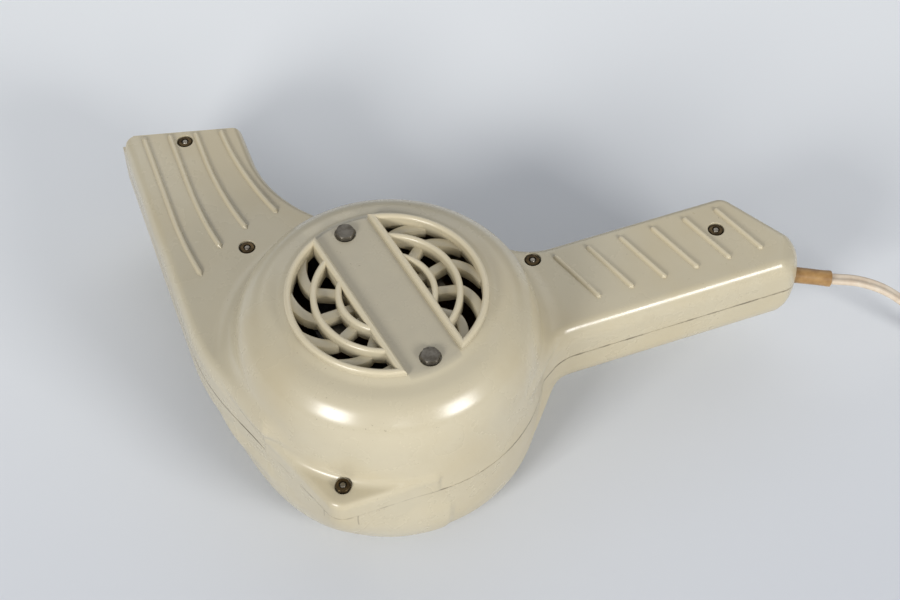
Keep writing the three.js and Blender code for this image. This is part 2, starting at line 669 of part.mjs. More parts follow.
function heaterLiner() {
  const x = ductHalf - 1.3;
  const z = halfBody - wall - 0.4;
  const outline = (a, b, r, longer) => {
    const g = new THREE.ExtrudeGeometry(
      new THREE.Shape(rounded([[-a, -b, r], [a, -b, r], [a, b, r], [-a, b, r]], 0.5)),
      { depth: heatHigh - heatLow - 2 + 2 * longer, bevelEnabled: false },
    );
    return solid(g.rotateX(Math.PI / 2).translate(ductX, heatHigh - 1 + longer, seamZ));
  };
  return cut(outline(x, z, 6, 0), outline(x - 0.8, z - 0.8, 5.2, 2));
}

function outletGuard() {
  const y0 = heatHigh + 2.2;
  const x = ductHalf - 0.6;
  const z = halfBody - wall - 0.5;
  const frame = (a, b, r, d, at) => solid(new THREE.ExtrudeGeometry(
    new THREE.Shape(rounded([[-a, -b, r], [a, -b, r], [a, b, r], [-a, b, r]], 0.5)),
    { depth: d, bevelEnabled: false },
  ).rotateX(Math.PI / 2).translate(ductX, at, seamZ));
  const bars = [-2, -1, 0, 1, 2].map((i) => block(
    ductX + i * 8.4 - 0.6, ductX + i * 8.4 + 0.6, y0 + 0.4, y0 + 1.6, seamZ - z + 0.5, seamZ + z - 0.5));
  const rails = [-1, 1].map((i) => block(
    ductX - x + 0.5, ductX + x - 0.5, y0 + 0.5, y0 + 1.5, seamZ + i * 4.6 - 0.5, seamZ + i * 4.6 + 0.5));
  return add(cut(frame(x, z, 5, 2, y0 + 2), frame(x - 1.4, z - 1.4, 4, 4, y0 + 3)), ...bars, ...rails);
}

// ---------------------------------------------------------------- switch and wiring
const switchBody = () => cut(
  block(switchX - 8, switchX + 16, handleFar - 15, handleFar - wall - 2.3, seamZ - 6.5, seamZ + 6.5),
  block(switchX - slotHalf - 0.2, switchX + slotHalf + switchTravel + 0.2, handleFar - 10.2, handleFar,
    seamZ - 2.4, seamZ + 2.4),
);

const switchSlider = () => add(
  pillow(rounded([[switchX - 4.6, handleFar + gap, 0.8], [switchX + 4.6, handleFar + gap, 0.8],
    [switchX + 4.6, handleFar + 3.4, 1], [switchX - 4.6, handleFar + 3.4, 1]]),
  seamZ - 4, seamZ + 4, 0.5, 0.5, 1),
  block(switchX - 2.5, switchX + 2.5, handleFar - 9.8, handleFar + 2, seamZ - 2, seamZ + 2),
);

const blockX = handleLength - 50;
const terminalBlock = () => cut(
  block(blockX - 7, blockX + 7, -12, 8, seamZ - 8, seamZ + 3),
  ...[-7, 3].map((y) => post(blockX, y, 2.3, seamZ - 1, seamZ + 8, 16)),
);
const terminalScrew = (y) => cut(
  post(blockX, y, 2, seamZ - 1 + gap, seamZ + 3.6, 18),
  block(blockX - 3, blockX + 3, y - 0.35, y + 0.35, seamZ + 2.8, seamZ + 5),
);

const clampX = handleLength - 21.5;
const cordClamp = () => cut(
  block(clampX - 4, clampX + 4, -16, 2.2, seamZ + 3.1, seamZ + 5.6),
  post(clampX, -12.6, screwR + 0.3, 0, 90, 14),
  post(clampX, -0.8, screwR + 0.3, 0, 90, 14),
);
const clampScrew = (y) => cut(
  add(post(clampX, y, 2.7, seamZ + 5.6 + gap, seamZ + 7.4, 18),
    post(clampX, y, screwR, seamZ - 3, seamZ + 6.5, 14)),
  block(clampX - 4, clampX + 4, y - 0.35, y + 0.35, seamZ + 6.7, seamZ + 9),
);

const wire = (route, steps = 20) => rod(route, 0.9, 0.9, 6, steps);

// ---------------------------------------------------------------- mains cord
const cordWide = 5.4;        // flat twin cord, across both strands
const cordThick = 2.7;
const sleeveOut = 21;        // sleeve, its end from the nose's middle
const sleeveIn = 3.2;
const sleeve = () => cut(
  solid(rod([outletAt(sleeveIn), outletAt(sleeveOut)], 3.5, 3.5, 18, 1)),
  solid(rod([outletAt(sleeveIn - 1), outletAt(sleeveOut - 2)], 2.9, 2.9, 14, 1)),
);

const shift = handleLength - 182;
const coilX = 304 + shift;
const coilY = -62;
const cordRoute = [
  outletAt(sleeveOut + gap), [204 + shift, -25, 37.6], [215 + shift, -30.5, 33], [226 + shift, -37, 23.4],
  [235.5 + shift, -43.4, 11.4], [243 + shift, -49.5, 4.4], [251.5 + shift, -56.5, 3.2],
  [262.6 + shift, -64.6, 5.6],
];
const tailRoute = [[coilX + 41.4, coilY + 6, 7], [coilX + 47, coilY + 15, 7.6], [coilX + 49, coilY + 24, 10.4],
  [coilX + 47.2, coilY + 30, 13.4],
  [coilX + 46, coilY + 35.5, 14.5], [coilX + 46, coilY + 39.6, 14.5]];

const cordCoil = () => turned([
  [24, 0.7], [26, 0.3], [38, 0.3], [40, 1.8], [40.6, 5.5], [40, 10.5], [37, 12.6], [27, 12.6], [24.4, 11], [23.6, 5.5],
], 26).translate([coilX, coilY, 0]);

const plugY = coilY + 40;
const plug = () => {
  const body = turned([[0, 0], [4, 0], [5, 4], [8, 12], [13.6, 20], [14.4, 26], [14.4, 36], [13, 38], [0, 38]], 24);
  const holes = [-1, 1].map((s) => post(s * 9.5, 0, 2 + gap, 30, 40, 16));
  return cut(body, ...holes).rotate([-90, 0, 0]).translate([coilX + 46, plugY, 14.5]);
};
const plugPin = (s) => solid(new THREE.CapsuleGeometry(1.98, 22, 4, 14))
  .translate([coilX + 46 + s * 9.5, plugY + 43.6, 14.5]);

// ---------------------------------------------------------------- materials
const make = (color, roughness, metalness) => () => new THREE.MeshStandardMaterial({ color, roughness, metalness });
const M = {
  shell: make(0xe4dcc2, 0.32, 0),
  steel: make(0x8f8d88, 0.4, 1),
  brass: make(0x9a7a3c, 0.4, 1),
  bronze: make(0x8c6b3f, 0.5, 1),
  iron: make(0x4a4c4f, 0.55, 0.9),
  copper: make(0xa8582c, 0.45, 0.9),
  carbon: make(0x1d1d1f, 0.75, 0),
  phenolic: make(0x3a2a1c, 0.5, 0),
  fan: make(0x2e2f31, 0.45, 0),
  mica: make(0xb9a074, 0.6, 0),
  nichrome: make(0x6a6762, 0.5, 1),
  lead: make(0x7a2f28, 0.6, 0),
  sleeve: make(0xb58d52, 0.5, 0),
  cord: make(0xd8c3b0, 0.55, 0),
  plug: make(0x2a1a12, 0.3, 0),
};

// ---------------------------------------------------------------- assembly
const group = new THREE.Group();
group.name = 'hair_dryer';

/** Add a named mesh from a solid or from a ready geometry. */
function piece(name, shape, material) {
  let geometry = shape;
  if (!shape.isBufferGeometry) {
    const m = shape.getMesh();
    geometry = new THREE.BufferGeometry();
    const xyz = new Float32Array((m.vertProperties.length / m.numProp) * 3);
    for (let i = 0; i < xyz.length / 3; i += 1) {
      for (let k = 0; k < 3; k += 1) xyz[i * 3 + k] = m.vertProperties[i * m.numProp + k];
    }
    geometry.setAttribute('position', new THREE.BufferAttribute(xyz, 3));
    geometry.setIndex(new THREE.BufferAttribute(new Uint32Array(m.triVerts), 1));
    geometry = geometry.toNonIndexed();
    geometry.computeVertexNormals();
  }
  const mesh = new THREE.Mesh(geometry, M[material]());
  mesh.name = name;
  group.add(mesh);
}

piece('front_shell', frontShell(), 'shell');
piece('rear_shell', rearShell(), 'shell');
boltSites.forEach((site, i) => piece(`motor_bolt_${'ab'[i]}`, motorBolt(site), 'steel'));
housingScrews.forEach((s) => {
  piece(`screw_${s.id}`, housingScrew(s), 'steel');
  piece(`nut_${s.id}`, housingNut(s), 'brass');
});
piece('bracket_front', bracketTop(), 'steel');
piece('bracket_rear', bracketBottom(), 'steel');
piece('bearing_front', bearing(74.9, 79.7), 'bronze');
piece('bearing_rear', bearing(39.5, 44.4), 'bronze');
piece('stator_core', stator(), 'iron');
piece('field_coil_a', fieldCoil(1), 'copper');
piece('field_coil_b', fieldCoil(-1), 'copper');
piece('motor_shaft', post(0, 0, shaftR, 7.4, 78.6, 22), 'steel');
piece('armature_core', armatureCore(), 'iron');
piece('winding_front', windingRing(stackTop + gap, 67.7), 'copper');
piece('winding_rear', windingRing(45.6, stackLow - gap), 'copper');
piece('commutator', commutator(), 'copper');
piece('brush_holder_a', brushHolder(1), 'phenolic');
piece('brush_holder_b', brushHolder(-1), 'phenolic');
piece('brush_a', brush(1), 'carbon');
piece('brush_b', brush(-1), 'carbon');
piece('brush_spring_a', brushSpring(1), 'steel');
piece('brush_spring_b', brushSpring(-1), 'steel');
piece('fan_impeller', impeller(), 'fan');
piece('fan_nut', fanNut(), 'steel');
piece('fan_inlet_ring', inletRing(), 'phenolic');
piece('heater_board', heaterBoard(), 'mica');
piece('heater_coil', heaterCoil(), 'nichrome');
piece('heater_liner', heaterLiner(), 'mica');
piece('outlet_guard', outletGuard(), 'steel');
piece('switch_body', switchBody(), 'phenolic');
piece('switch_slider', switchSlider(), 'plug');
piece('terminal_block', terminalBlock(), 'phenolic');
piece('terminal_screw_a', terminalScrew(-7), 'brass');
piece('terminal_screw_b', terminalScrew(3), 'brass');
piece('cord_clamp', cordClamp(), 'steel');
piece('clamp_screw_a', clampScrew(-12.6), 'steel');
piece('clamp_screw_b', clampScrew(-0.8), 'steel');
piece('lead_switch', wire([[blockX + 7.8, 3, seamZ - 3], [blockX + 9.3, 5, seamZ - 2], [blockX + 8.4, 11, seamZ],
  [switchX + 16.8, 14.4, seamZ]], 12), 'lead');
piece('lead_live', wire([[switchX - 8.5, 14, seamZ + 2], [switchX - 16, 8, seamZ + 5], [drumR + 10, -4, seamZ + 8],
  [drumR - 4, -5, seamZ + 8], [drumR - 14, -8, seamZ + 12]], 16), 'lead');
piece('lead_neutral', wire([[blockX - 7.5, -7, seamZ - 3], [blockX - 20, -9, seamZ], [drumR + 22, -10, seamZ + 6],
  [drumR + 6, -7.6, seamZ + 8], [drumR - 4, -7.6, seamZ + 8], [drumR - 14, -14, seamZ + 10]], 16), 'lead');
piece('strain_relief', sleeve(), 'sleeve');
piece('cord_run', rod(cordRoute, cordThick / 2, cordWide / 2, 8, 32), 'cord');
piece('cord_coil', cordCoil(), 'cord');
piece('cord_tail', rod(tailRoute, cordThick / 2, cordWide / 2, 8, 14), 'cord');
piece('plug_body', plug(), 'plug');
piece('plug_pin_a', plugPin(-1), 'brass');
piece('plug_pin_b', plugPin(1), 'brass');

export default group;
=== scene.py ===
"""Hair dryer: the finished surfaces, finishes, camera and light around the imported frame.

The frame lies with its rear shell's flat at z = 0. The drum's axis is Z, the handle runs along +X and the
nozzle along +Y. Sizes in the classes below are in millimetres; meshes are put into the scene in metres.
"""

from __future__ import annotations

import logging
import math
from dataclasses import dataclass, field
from enum import Enum
from typing import Callable, Iterable, Sequence

import bpy
import numpy as np
from mathutils import Matrix


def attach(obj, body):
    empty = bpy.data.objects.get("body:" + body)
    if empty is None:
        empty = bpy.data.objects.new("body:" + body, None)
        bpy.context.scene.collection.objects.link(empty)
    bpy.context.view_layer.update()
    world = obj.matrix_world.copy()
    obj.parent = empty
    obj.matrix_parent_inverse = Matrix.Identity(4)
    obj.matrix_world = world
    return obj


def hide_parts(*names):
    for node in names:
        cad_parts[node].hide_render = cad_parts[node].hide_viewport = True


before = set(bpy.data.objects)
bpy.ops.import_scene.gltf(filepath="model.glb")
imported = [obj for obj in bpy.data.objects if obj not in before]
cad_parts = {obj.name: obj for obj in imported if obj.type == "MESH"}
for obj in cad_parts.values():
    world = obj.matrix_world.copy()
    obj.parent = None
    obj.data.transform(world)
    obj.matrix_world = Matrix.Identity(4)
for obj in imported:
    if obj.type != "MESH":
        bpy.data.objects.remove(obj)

MM = 0.001
Array = np.ndarray
Field = Callable[[Array, Array, Array], Array]
log = logging.getLogger("hair_dryer")

BOX_FACES = [[3, 2, 1, 0], [4, 5, 6, 7], [0, 1, 5, 4], [1, 2, 6, 5], [2, 3, 7, 6], [3, 0, 4, 7]]
SLEEVE_ROOT = np.array([173.0, -12.5, 42.0])
SLEEVE_AXIS = np.array([math.cos(-0.42), math.sin(-0.42), -0.1])
SLEEVE_AXIS /= np.linalg.norm(SLEEVE_AXIS)


class Body(str, Enum):
    """The moving bodies of the frame."""

    HOUSING = "housing"
    ROTOR = "rotor"
    SWITCH = "switch"


# ------------------------------------------------------------------ meshes
def new_mesh(name: str, points: Array, faces: Array | Sequence,
             sharp: float = 34.0) -> bpy.types.Object:
    """Put arrays into a new mesh object, shaded smooth up to an angle.

    Args:
        name: The object's name.
        points: Corner points, in millimetres, one row each.
        faces: Corner numbers of each face.
        sharp: The angle in degrees past which an edge stays sharp.

    Returns:
        The new object, linked to the scene.
    """
    mesh = bpy.data.meshes.new(name)
    rows = faces.tolist() if isinstance(faces, np.ndarray) else faces
    mesh.from_pydata(np.asarray(points, float) * MM, [], rows)
    mesh.validate()
    made = bpy.data.objects.new(name, mesh)
    bpy.context.scene.collection.objects.link(made)
    shade(made, sharp)
    return made


def shade(piece: bpy.types.Object, sharp: float) -> None:
    """Shade a mesh smooth, with edges past an angle left sharp."""
    mesh = piece.data
    mesh.polygons.foreach_set("use_smooth", np.ones(len(mesh.polygons), bool))
    mesh.set_sharp_from_angle(angle=math.radians(sharp))
    mesh.update()


def grid_faces(rows: int, columns: int, wrap_rows: bool, wrap_columns: bool) -> Array:
    """Quads of a grid of points, numbered row by row, wrapped round where it closes."""
    i, j = np.meshgrid(
        np.arange(rows if wrap_rows else rows - 1),
        np.arange(columns if wrap_columns else columns - 1),
        indexing="ij",
    )
    i2, j2 = (i + 1) % rows, (j + 1) % columns
    quads = np.stack([i * columns + j, i2 * columns + j, i2 * columns + j2, i * columns + j2], -1)
    return quads.reshape(-1, 4)


def joined(parts: Iterable[tuple[Array, Sequence]]) -> tuple[Array, list]:
    """Several (points, faces) as one, each part's corner numbers moved on."""
    points, faces, count = [], [], 0
    for p, f in parts:
        points.append(p)
        faces += [[n + count for n in face] for face in (f.tolist() if isinstance(f, np.ndarray) else f)]
        count += len(p)
    return np.concatenate(points), faces


def turned(profile: Sequence[tuple[float, float]], centre: tuple[float, float] = (0.0, 0.0),
           sides: int = 48) -> tuple[Array, list]:
    """Surface of revolution about an upright axis: each profile point (r, z) goes round a circle of radius r.

    Args:
        profile: (radius, height) points. It closes on the axis where both its ends have radius 0, and
            otherwise on itself.
        centre: The axis in plan.
        sides: Steps round the circle.

    Returns:
        Points and faces of one closed body.
    """
    profile = np.asarray(profile, float)
    on_axis = profile[0, 0] < 1e-9 and profile[-1, 0] < 1e-9
    after = np.roll(profile, -1, 0)
    area = np.sum(profile[:, 0] * after[:, 1] - after[:, 0] * profile[:, 1])
    if area < 0:
        profile = profile[::-1]
    turn = np.arange(sides) * 2 * math.pi / sides
    rings = profile[1:-1] if on_axis else profile
    r, t = rings[:, :1], turn[None]
    z = np.broadcast_to(rings[:, 1:], (len(rings), sides))
    points = np.stack([centre[0] + r * np.cos(t), centre[1] + r * np.sin(t), z], -1).reshape(-1, 3)
    faces = grid_faces(len(rings), sides, not on_axis, True)[:, ::-1].tolist()
    if on_axis:
        low, high = len(points), len(points) + 1
        points = np.concatenate([points, [[*centre, profile[0, 1]], [*centre, profile[-1, 1]]]])
        last = (len(rings) - 1) * sides
        faces += [[low, (k + 1) % sides, k] for k in range(sides)]
        faces += [[high, last + k, last + (k + 1) % sides] for k in range(sides)]
    return points, faces


def unit(rows: Array) -> Array:
    """Each row divided by its length."""
    return rows / np.maximum(np.linalg.norm(rows, axis=1, keepdims=True), 1e-12)


def swept(path: Array, section: Array, size: Array | None = None,
          closed: bool = False) -> tuple[Array, list]:
    """A section carried along a path that keeps the section's second axis upright where it can.

    Each ring is path + across * u + up * v, where across is level and at right angles to the path, and a
    corner's ring is lengthened across so that both its sides keep their width.

    Args:
        path: Points (n, 3).
        section: Points (m, 2) as (across, up), anticlockwise when seen from behind.
        size: A factor on the section for each path point.
        closed: Whether the path joins up with itself.

    Returns:
        Points and faces of one closed body.
    """
    path = np.asarray(path, float)
    ahead = np.roll(path, -1, 0) - path
    behind = path - np.roll(path, 1, 0)
    if not closed:
        ahead[-1], behind[0] = behind[-1], ahead[0]
    ahead, behind = unit(ahead), unit(behind)
    tangent = unit(ahead + behind)
    upright = np.array([0.0, 0.0, 1.0])
    across = unit(np.cross(tangent, upright))
    up = unit(np.cross(across, tangent))
    least_cosine = 0.35
    mitre = 1 / np.maximum(np.sqrt((1 + (ahead * behind).sum(1)) / 2), least_cosine)
    scale = np.ones(len(path)) if size is None else np.asarray(size, float)
    rings = (path[:, None]
             + (across * (mitre * scale)[:, None])[:, None] * section[None, :, :1]
             + (up * scale[:, None])[:, None] * section[None, :, 1:])
    count = len(section)
    faces = grid_faces(len(path), count, closed, True)[:, ::-1].tolist()
    if not closed:
        last = (len(path) - 1) * count
        faces.append(list(range(count))[::-1])
        faces.append([last + k for k in range(count)])
    return rings.reshape(-1, 3), faces


def fixed_outside(points: Array, faces: list) -> tuple[Array, list]:
    """The same body with its faces turned over if its signed volume is below nought."""
    total = 0.0
    for face in faces:
        a = points[face[0]]
        for k in range(1, len(face) - 1):
            total += float(np.dot(a, np.cross(points[face[k]], points[face[k + 1]])))
    return (points, [f[::-1] for f in faces]) if total < 0 else (points, faces)


def round_section(radius: float, sides: int) -> Array:
    """A circle as a section."""
    t = np.arange(sides) * 2 * math.pi / sides
    return np.stack([radius * np.cos(t), radius * np.sin(t)], 1)


def smooth_line(points: Sequence[Sequence[float]], steps: int) -> Array:
    """A centripetal Catmull-Rom curve through points, sampled at even lengths.

    Args:
        points: The points it passes through.
        steps: How many points it returns.

    Returns:
        Points along the curve.
    """
    p = np.asarray(points, float)
    p = np.concatenate([[2 * p[0] - p[1]], p, [2 * p[-1] - p[-2]]])
    gaps = np.linalg.norm(np.diff(p, axis=0), axis=1)
    t = np.concatenate([[0], np.cumsum(gaps ** 0.5)])
    per_gap = 24
    out = []
    for k in range(1, len(p) - 2):
        u = np.linspace(t[k], t[k + 1], per_gap, endpoint=k == len(p) - 3)[:, None]
        a = [((t[k + m] - u) * p[k - 1 + m] + (u - t[k - 1 + m]) * p[k + m]) / (t[k + m] - t[k - 1 + m])
             for m in range(3)]
        b = [((t[k + 1 + m] - u) * a[m] + (u - t[k - 1 + m]) * a[m + 1]) / (t[k + 1 + m] - t[k - 1 + m])
             for m in range(2)]
        out.append(((t[k + 1] - u) * b[0] + (u - t[k]) * b[1]) / (t[k + 1] - t[k]))
    return evenly(np.concatenate(out), steps)


def evenly(line: Array, steps: int) -> Array:
    """A polyline sampled again at even lengths."""
    run = np.concatenate([[0], np.cumsum(np.linalg.norm(np.diff(line, axis=0), axis=1))])
    at = np.linspace(0, run[-1], steps)
    return np.stack([np.interp(at, run, line[:, k]) for k in range(line.shape[1])], 1)


def hexagon(apothem: float, low: float, high: float, chamfer: float, bore: float, turn: float,
            sides: int = 72) -> tuple[Array, list]:
    """A hexagon head or nut about the Z axis.

    The radius at angle t and height z is the smaller of the hexagon's, apothem / cos(t folded into a sixth),
    and a cone's, which starts at the flats' own radius at each face.

    Args:
        apothem: Half the width across flats.
        low: Underside.
        high: Top face.
        chamfer: Height of the cone at each face.
        bore: Radius of the hole, or 0.
        turn: Turn of the flats, radians.
        sides: Steps round.

    Returns:
        Points and faces of one closed body.
    """
    t = np.arange(sides) * 2 * math.pi / sides
    folded = np.mod(t - turn, math.pi / 3) - math.pi / 6
    flat = apothem / np.cos(folded)
    edge, edge_in, past_flats = 0.06, 0.1, 0.155
    z = np.array([low, low + chamfer * 0.5, low + chamfer,
                  high - chamfer, high - chamfer * 0.5, high - edge, high])
    depth = np.minimum(z - low, high - z)
    cone = apothem + depth * past_flats * apothem / chamfer
    r = np.minimum(flat[None], cone[:, None])
    r[-1] -= edge_in
    outer = np.stack([r * np.cos(t), r * np.sin(t), np.broadcast_to(z[:, None], r.shape)], -1)
    hole = np.full((2, sides), max(bore, 0.02))
    ends = np.broadcast_to(np.array([[high], [low]]), (2, sides))
    inner = np.stack([hole * np.cos(t), hole * np.sin(t), ends], -1)
    rings = np.concatenate([outer, inner])
    return fixed_outside(rings.reshape(-1, 3), grid_faces(len(rings), sides, True, True).tolist())


def moved(body: tuple[Array, list], x: float, y: float) -> tuple[Array, list]:
    """The same body, shifted in plan."""
    return body[0] + [x, y, 0.0], body[1]


def combine(base: bpy.types.Object, others: Iterable[bpy.types.Object], operation: str) -> None:
    """Add closed bodies to one, cut them from it, or keep what it shares with them, and remove them.

    Args:
        base: The mesh that is changed.
        others: The other bodies.
        operation: UNION, DIFFERENCE or INTERSECT.
    """
    group = bpy.data.collections.new("tools")
    bpy.context.scene.collection.children.link(group)
    others = list(others)
    for other in others:
        for owner in list(other.users_collection):
            owner.objects.unlink(other)
        group.objects.link(other)
    for other in others:
        change = base.modifiers.new("change", "BOOLEAN")
        change.operation = operation
        change.solver = "MANIFOLD"
        change.object = other
    bpy.context.view_layer.update()
    evaluated = base.evaluated_get(bpy.context.evaluated_depsgraph_get())
    done = bpy.data.meshes.new_from_object(evaluated)
    base.modifiers.clear()
    old, base.data = base.data, done
    bpy.data.meshes.remove(old)
    for other in others:
        data = other.data
        bpy.data.objects.remove(other)
        bpy.data.meshes.remove(data)
    bpy.data.collections.remove(group)


# ------------------------------------------------------------------ blended solids
def rounded(corners: Sequence[tuple[float, float, float]], error: float = 0.008) -> Array:
    """Corner points of a polygon with each corner an arc of its own radius.

    Args:
        corners: (x, y, radius), anticlockwise.
        error: How far an arc's chords may leave it.

    Returns:
        The outline's points.
    """
    out: list[Array] = []
    for i, (x, y, r) in enumerate(corners):
        c = np.array([x, y])
        a = np.array(corners[i - 1][:2]) - c
        b = np.array(corners[(i + 1) % len(corners)][:2]) - c
        a, b = a / np.linalg.norm(a), b / np.linalg.norm(b)
        if r < 1e-6:
            out.append(c[None])
            continue
        half = math.acos(float(np.clip(a @ b, -1, 1))) / 2
        middle = c + (a + b) / np.linalg.norm(a + b) * r / math.sin(half)
        start = c + a * r / math.tan(half) - middle
        end = c + b * r / math.tan(half) - middle
        t0 = math.atan2(start[1], start[0])
        sweep = (math.atan2(end[1], end[0]) - t0 + math.pi) % (2 * math.pi) - math.pi
        chords = math.ceil(abs(sweep) / math.sqrt(8 * error / r))
        t = t0 + sweep * np.linspace(0, 1, max(3, chords + 1))
        out.append(middle + r * np.stack([np.cos(t), np.sin(t)], 1))
    return np.concatenate(out)


def signed_distance(outline: Array, x: Array, y: Array) -> Array:
    """Distance to a closed outline, below nought inside.

    For each edge the nearest point is the start plus the clamped share of the edge. The smallest of those
    distances is kept, and its sign comes from how many edges a ray along +X crosses.
    """
    best = np.full(x.shape, np.inf)
    inside = np.zeros(x.shape, bool)
    for (ax, ay), (bx, by) in zip(outline, np.roll(outline, -1, 0)):
        dx, dy = bx - ax, by - ay
        share = np.clip(((x - ax) * dx + (y - ay) * dy) / (dx * dx + dy * dy), 0, 1)
        best = np.minimum(best, (x - ax - share * dx) ** 2 + (y - ay - share * dy) ** 2)
        if abs(dy) > 1e-12:
            inside ^= ((ay > y) != (by > y)) & (x < ax + dx * (y - ay) / dy)
    return np.where(inside, -1, 1) * np.sqrt(best)


class Sheet:
    """Distance to an outline, worked out once on a fine grid and read back by linear interpolation."""

    def __init__(self, outline: Array, low: tuple[float, float], high: tuple[float, float],
                 step: float) -> None:
        """Fill the grid.

        Args:
            outline: The closed outline.
            low: The grid's low corner.
            high: Its high corner.
            step: Its pitch.
        """
        self.low, self.step = np.array(low), step
        xs = np.arange(low[0], high[0] + step, step)
        ys = np.arange(low[1], high[1] + step, step)
        self.table = signed_distance(outline, *np.meshgrid(xs, ys, indexing="ij"))

    def __call__(self, x: Array, y: Array) -> Array:
        """The distance at points: the four grid values round each, weighted by closeness."""
        u = np.clip((x - self.low[0]) / self.step, 0, self.table.shape[0] - 1.001)
        v = np.clip((y - self.low[1]) / self.step, 0, self.table.shape[1] - 1.001)
        i, j = u.astype(int), v.astype(int)
        a, b = u - i, v - j
        t = self.table
        return ((t[i, j] * (1 - a) + t[i + 1, j] * a) * (1 - b)
                + (t[i, j + 1] * (1 - a) + t[i + 1, j + 1] * a) * b)


def pillow(flat: Array, away: Array, across: float, along: float, half: float) -> Array:
    """Distance to an upright prism with oval rounded rims.

    Outside the part where the faces are flat, it is the distance to an oval of the two radii, scaled by the
    oval's own slope. Elsewhere it is the greater of the two plain distances.

    Args:
        flat: Signed distance to the outline, in plan.
        away: Height above or below the middle plane.
        across: The rim's radius in plan.
        along: The rim's radius in height.
        half: Half the prism's height.

    Returns:
        Signed distance.
    """
    p, q = flat + across, away - (half - along)
    big_p, big_q = np.maximum(p, 0), np.maximum(q, 0)
    level = np.sqrt((big_p / across) ** 2 + (big_q / along) ** 2)
    slope = np.sqrt((big_p / across ** 2) ** 2 + (big_q / along ** 2) ** 2)
    rim = (level - 1) * level / np.maximum(slope, 1e-6)
    return np.where((p > 0) | (q > 0), rim, np.maximum(p - across, q - along))


def filleted(a: Array, b: Array, r: Array | float) -> Array:
    """Union of two distances with a round fillet: r less the distance of (r - a, r - b) from the corner."""
    return np.maximum(r, np.minimum(a, b)) - np.hypot(np.maximum(r - a, 0), np.maximum(r - b, 0))


def eased(a: Array, b: Array, r: Array | float) -> Array:
    """Intersection of two distances with a rounded edge: minus the filleted union of their negatives."""
    return -filleted(-a, -b, r)


def ramp(value: Array, low: float, high: float) -> Array:
    """0 below low and 1 above high, turning smoothly in between."""
    t = np.clip((value - low) / (high - low), 0, 1)
    return t * t * (3 - 2 * t)


def skin(name: str, solid: Field, low: Sequence[float], high: Sequence[float],
         step: float) -> bpy.types.Object:
    """The surface where a field is nought, as one closed mesh of quads.

    The field is sampled on a box of points. A cell whose corners lie on both sides gets one vertex, at the
    mean of its edges' crossings, and a grid edge that crosses gets the quad of the four cells round it. Each
    vertex is then moved along the field's slope until it lies on the surface.

    Args:
        name: The object's name.
        solid: The field, below nought inside.
        low: The box's low corner.
        high: Its high corner.
        step: Its pitch.

    Returns:
        The object.
    """
    axes = [np.arange(low[k], high[k] + step, step) for k in range(3)]
    f = solid(*np.meshgrid(*axes, indexing="ij")).astype(np.float32)
    inside = f < 0
    n = np.array(f.shape) - 1
    corner = [(i, j, k) for i in (0, 1) for j in (0, 1) for k in (0, 1)]
    view = {c: f[c[0]:n[0] + c[0], c[1]:n[1] + c[1], c[2]:n[2] + c[2]] for c in corner}
    count = sum((view[c] < 0).astype(np.int8) for c in corner)
    mixed = (count > 0) & (count < 8)
    at = np.stack(np.nonzero(mixed), 1)
    number = np.full(n, -1)
    number[mixed] = np.arange(len(at))
    values = {c: view[c][mixed] for c in corner}
    total, hits = np.zeros((len(at), 3)), np.zeros(len(at))
    for a in corner:
        for k in range(3):
            if a[k]:
                continue
            b = tuple(1 if m == k else a[m] for m in range(3))
            fa, fb = values[a], values[b]
            cross = (fa < 0) != (fb < 0)
            share = np.where(cross, fa / np.where(cross, fa - fb, 1), 0)
            spot = np.array(a)[None] + share[:, None] * np.eye(3)[k]
            total += spot * cross[:, None]
            hits += cross
    points = (at + total / hits[:, None]) * step + np.array(low)
    moves, apart, least_slope, furthest = 4, 0.2, 0.05, step * 0.6
    for _ in range(moves):
        value = solid(*points.T)
        slope = slope_of(solid, points, apart)
        move = -value[:, None] * slope / np.maximum((slope ** 2).sum(1, keepdims=True), least_slope)
        points = points + np.clip(move, -furthest, furthest)
    quads = []
    for k in range(3):
        one = [slice(1, -1)] * 3
        one[k] = slice(0, -1)
        two = list(one)
        two[k] = slice(1, None)
        first, second = inside[tuple(one)], inside[tuple(two)]
        spot = np.stack(np.nonzero(first != second), 1)
        flip = second[tuple(spot.T)]
        full = spot + 1
        full[:, k] -= 1
        u, v = [m for m in range(3) if m != k]
        step_u, step_v = np.eye(3, dtype=int)[u], np.eye(3, dtype=int)[v]
        ring = [full - step_u - step_v, full - step_v, full, full - step_u]
        quad = np.stack([number[tuple(c.T)] for c in ring], 1)
        turn_over = flip if k != 1 else ~flip
        quad[turn_over] = quad[turn_over][:, ::-1]
        quads.append(quad)
    return new_mesh(name, points, np.concatenate(quads), 40)


def slope_of(solid: Field, points: Array, h: float) -> Array:
    """The field's slope at points, by central differences over h."""
    return np.stack([
        (solid(*(points + h * e).T) - solid(*(points - h * e).T)) / (2 * h) for e in np.eye(3)
    ], 1)


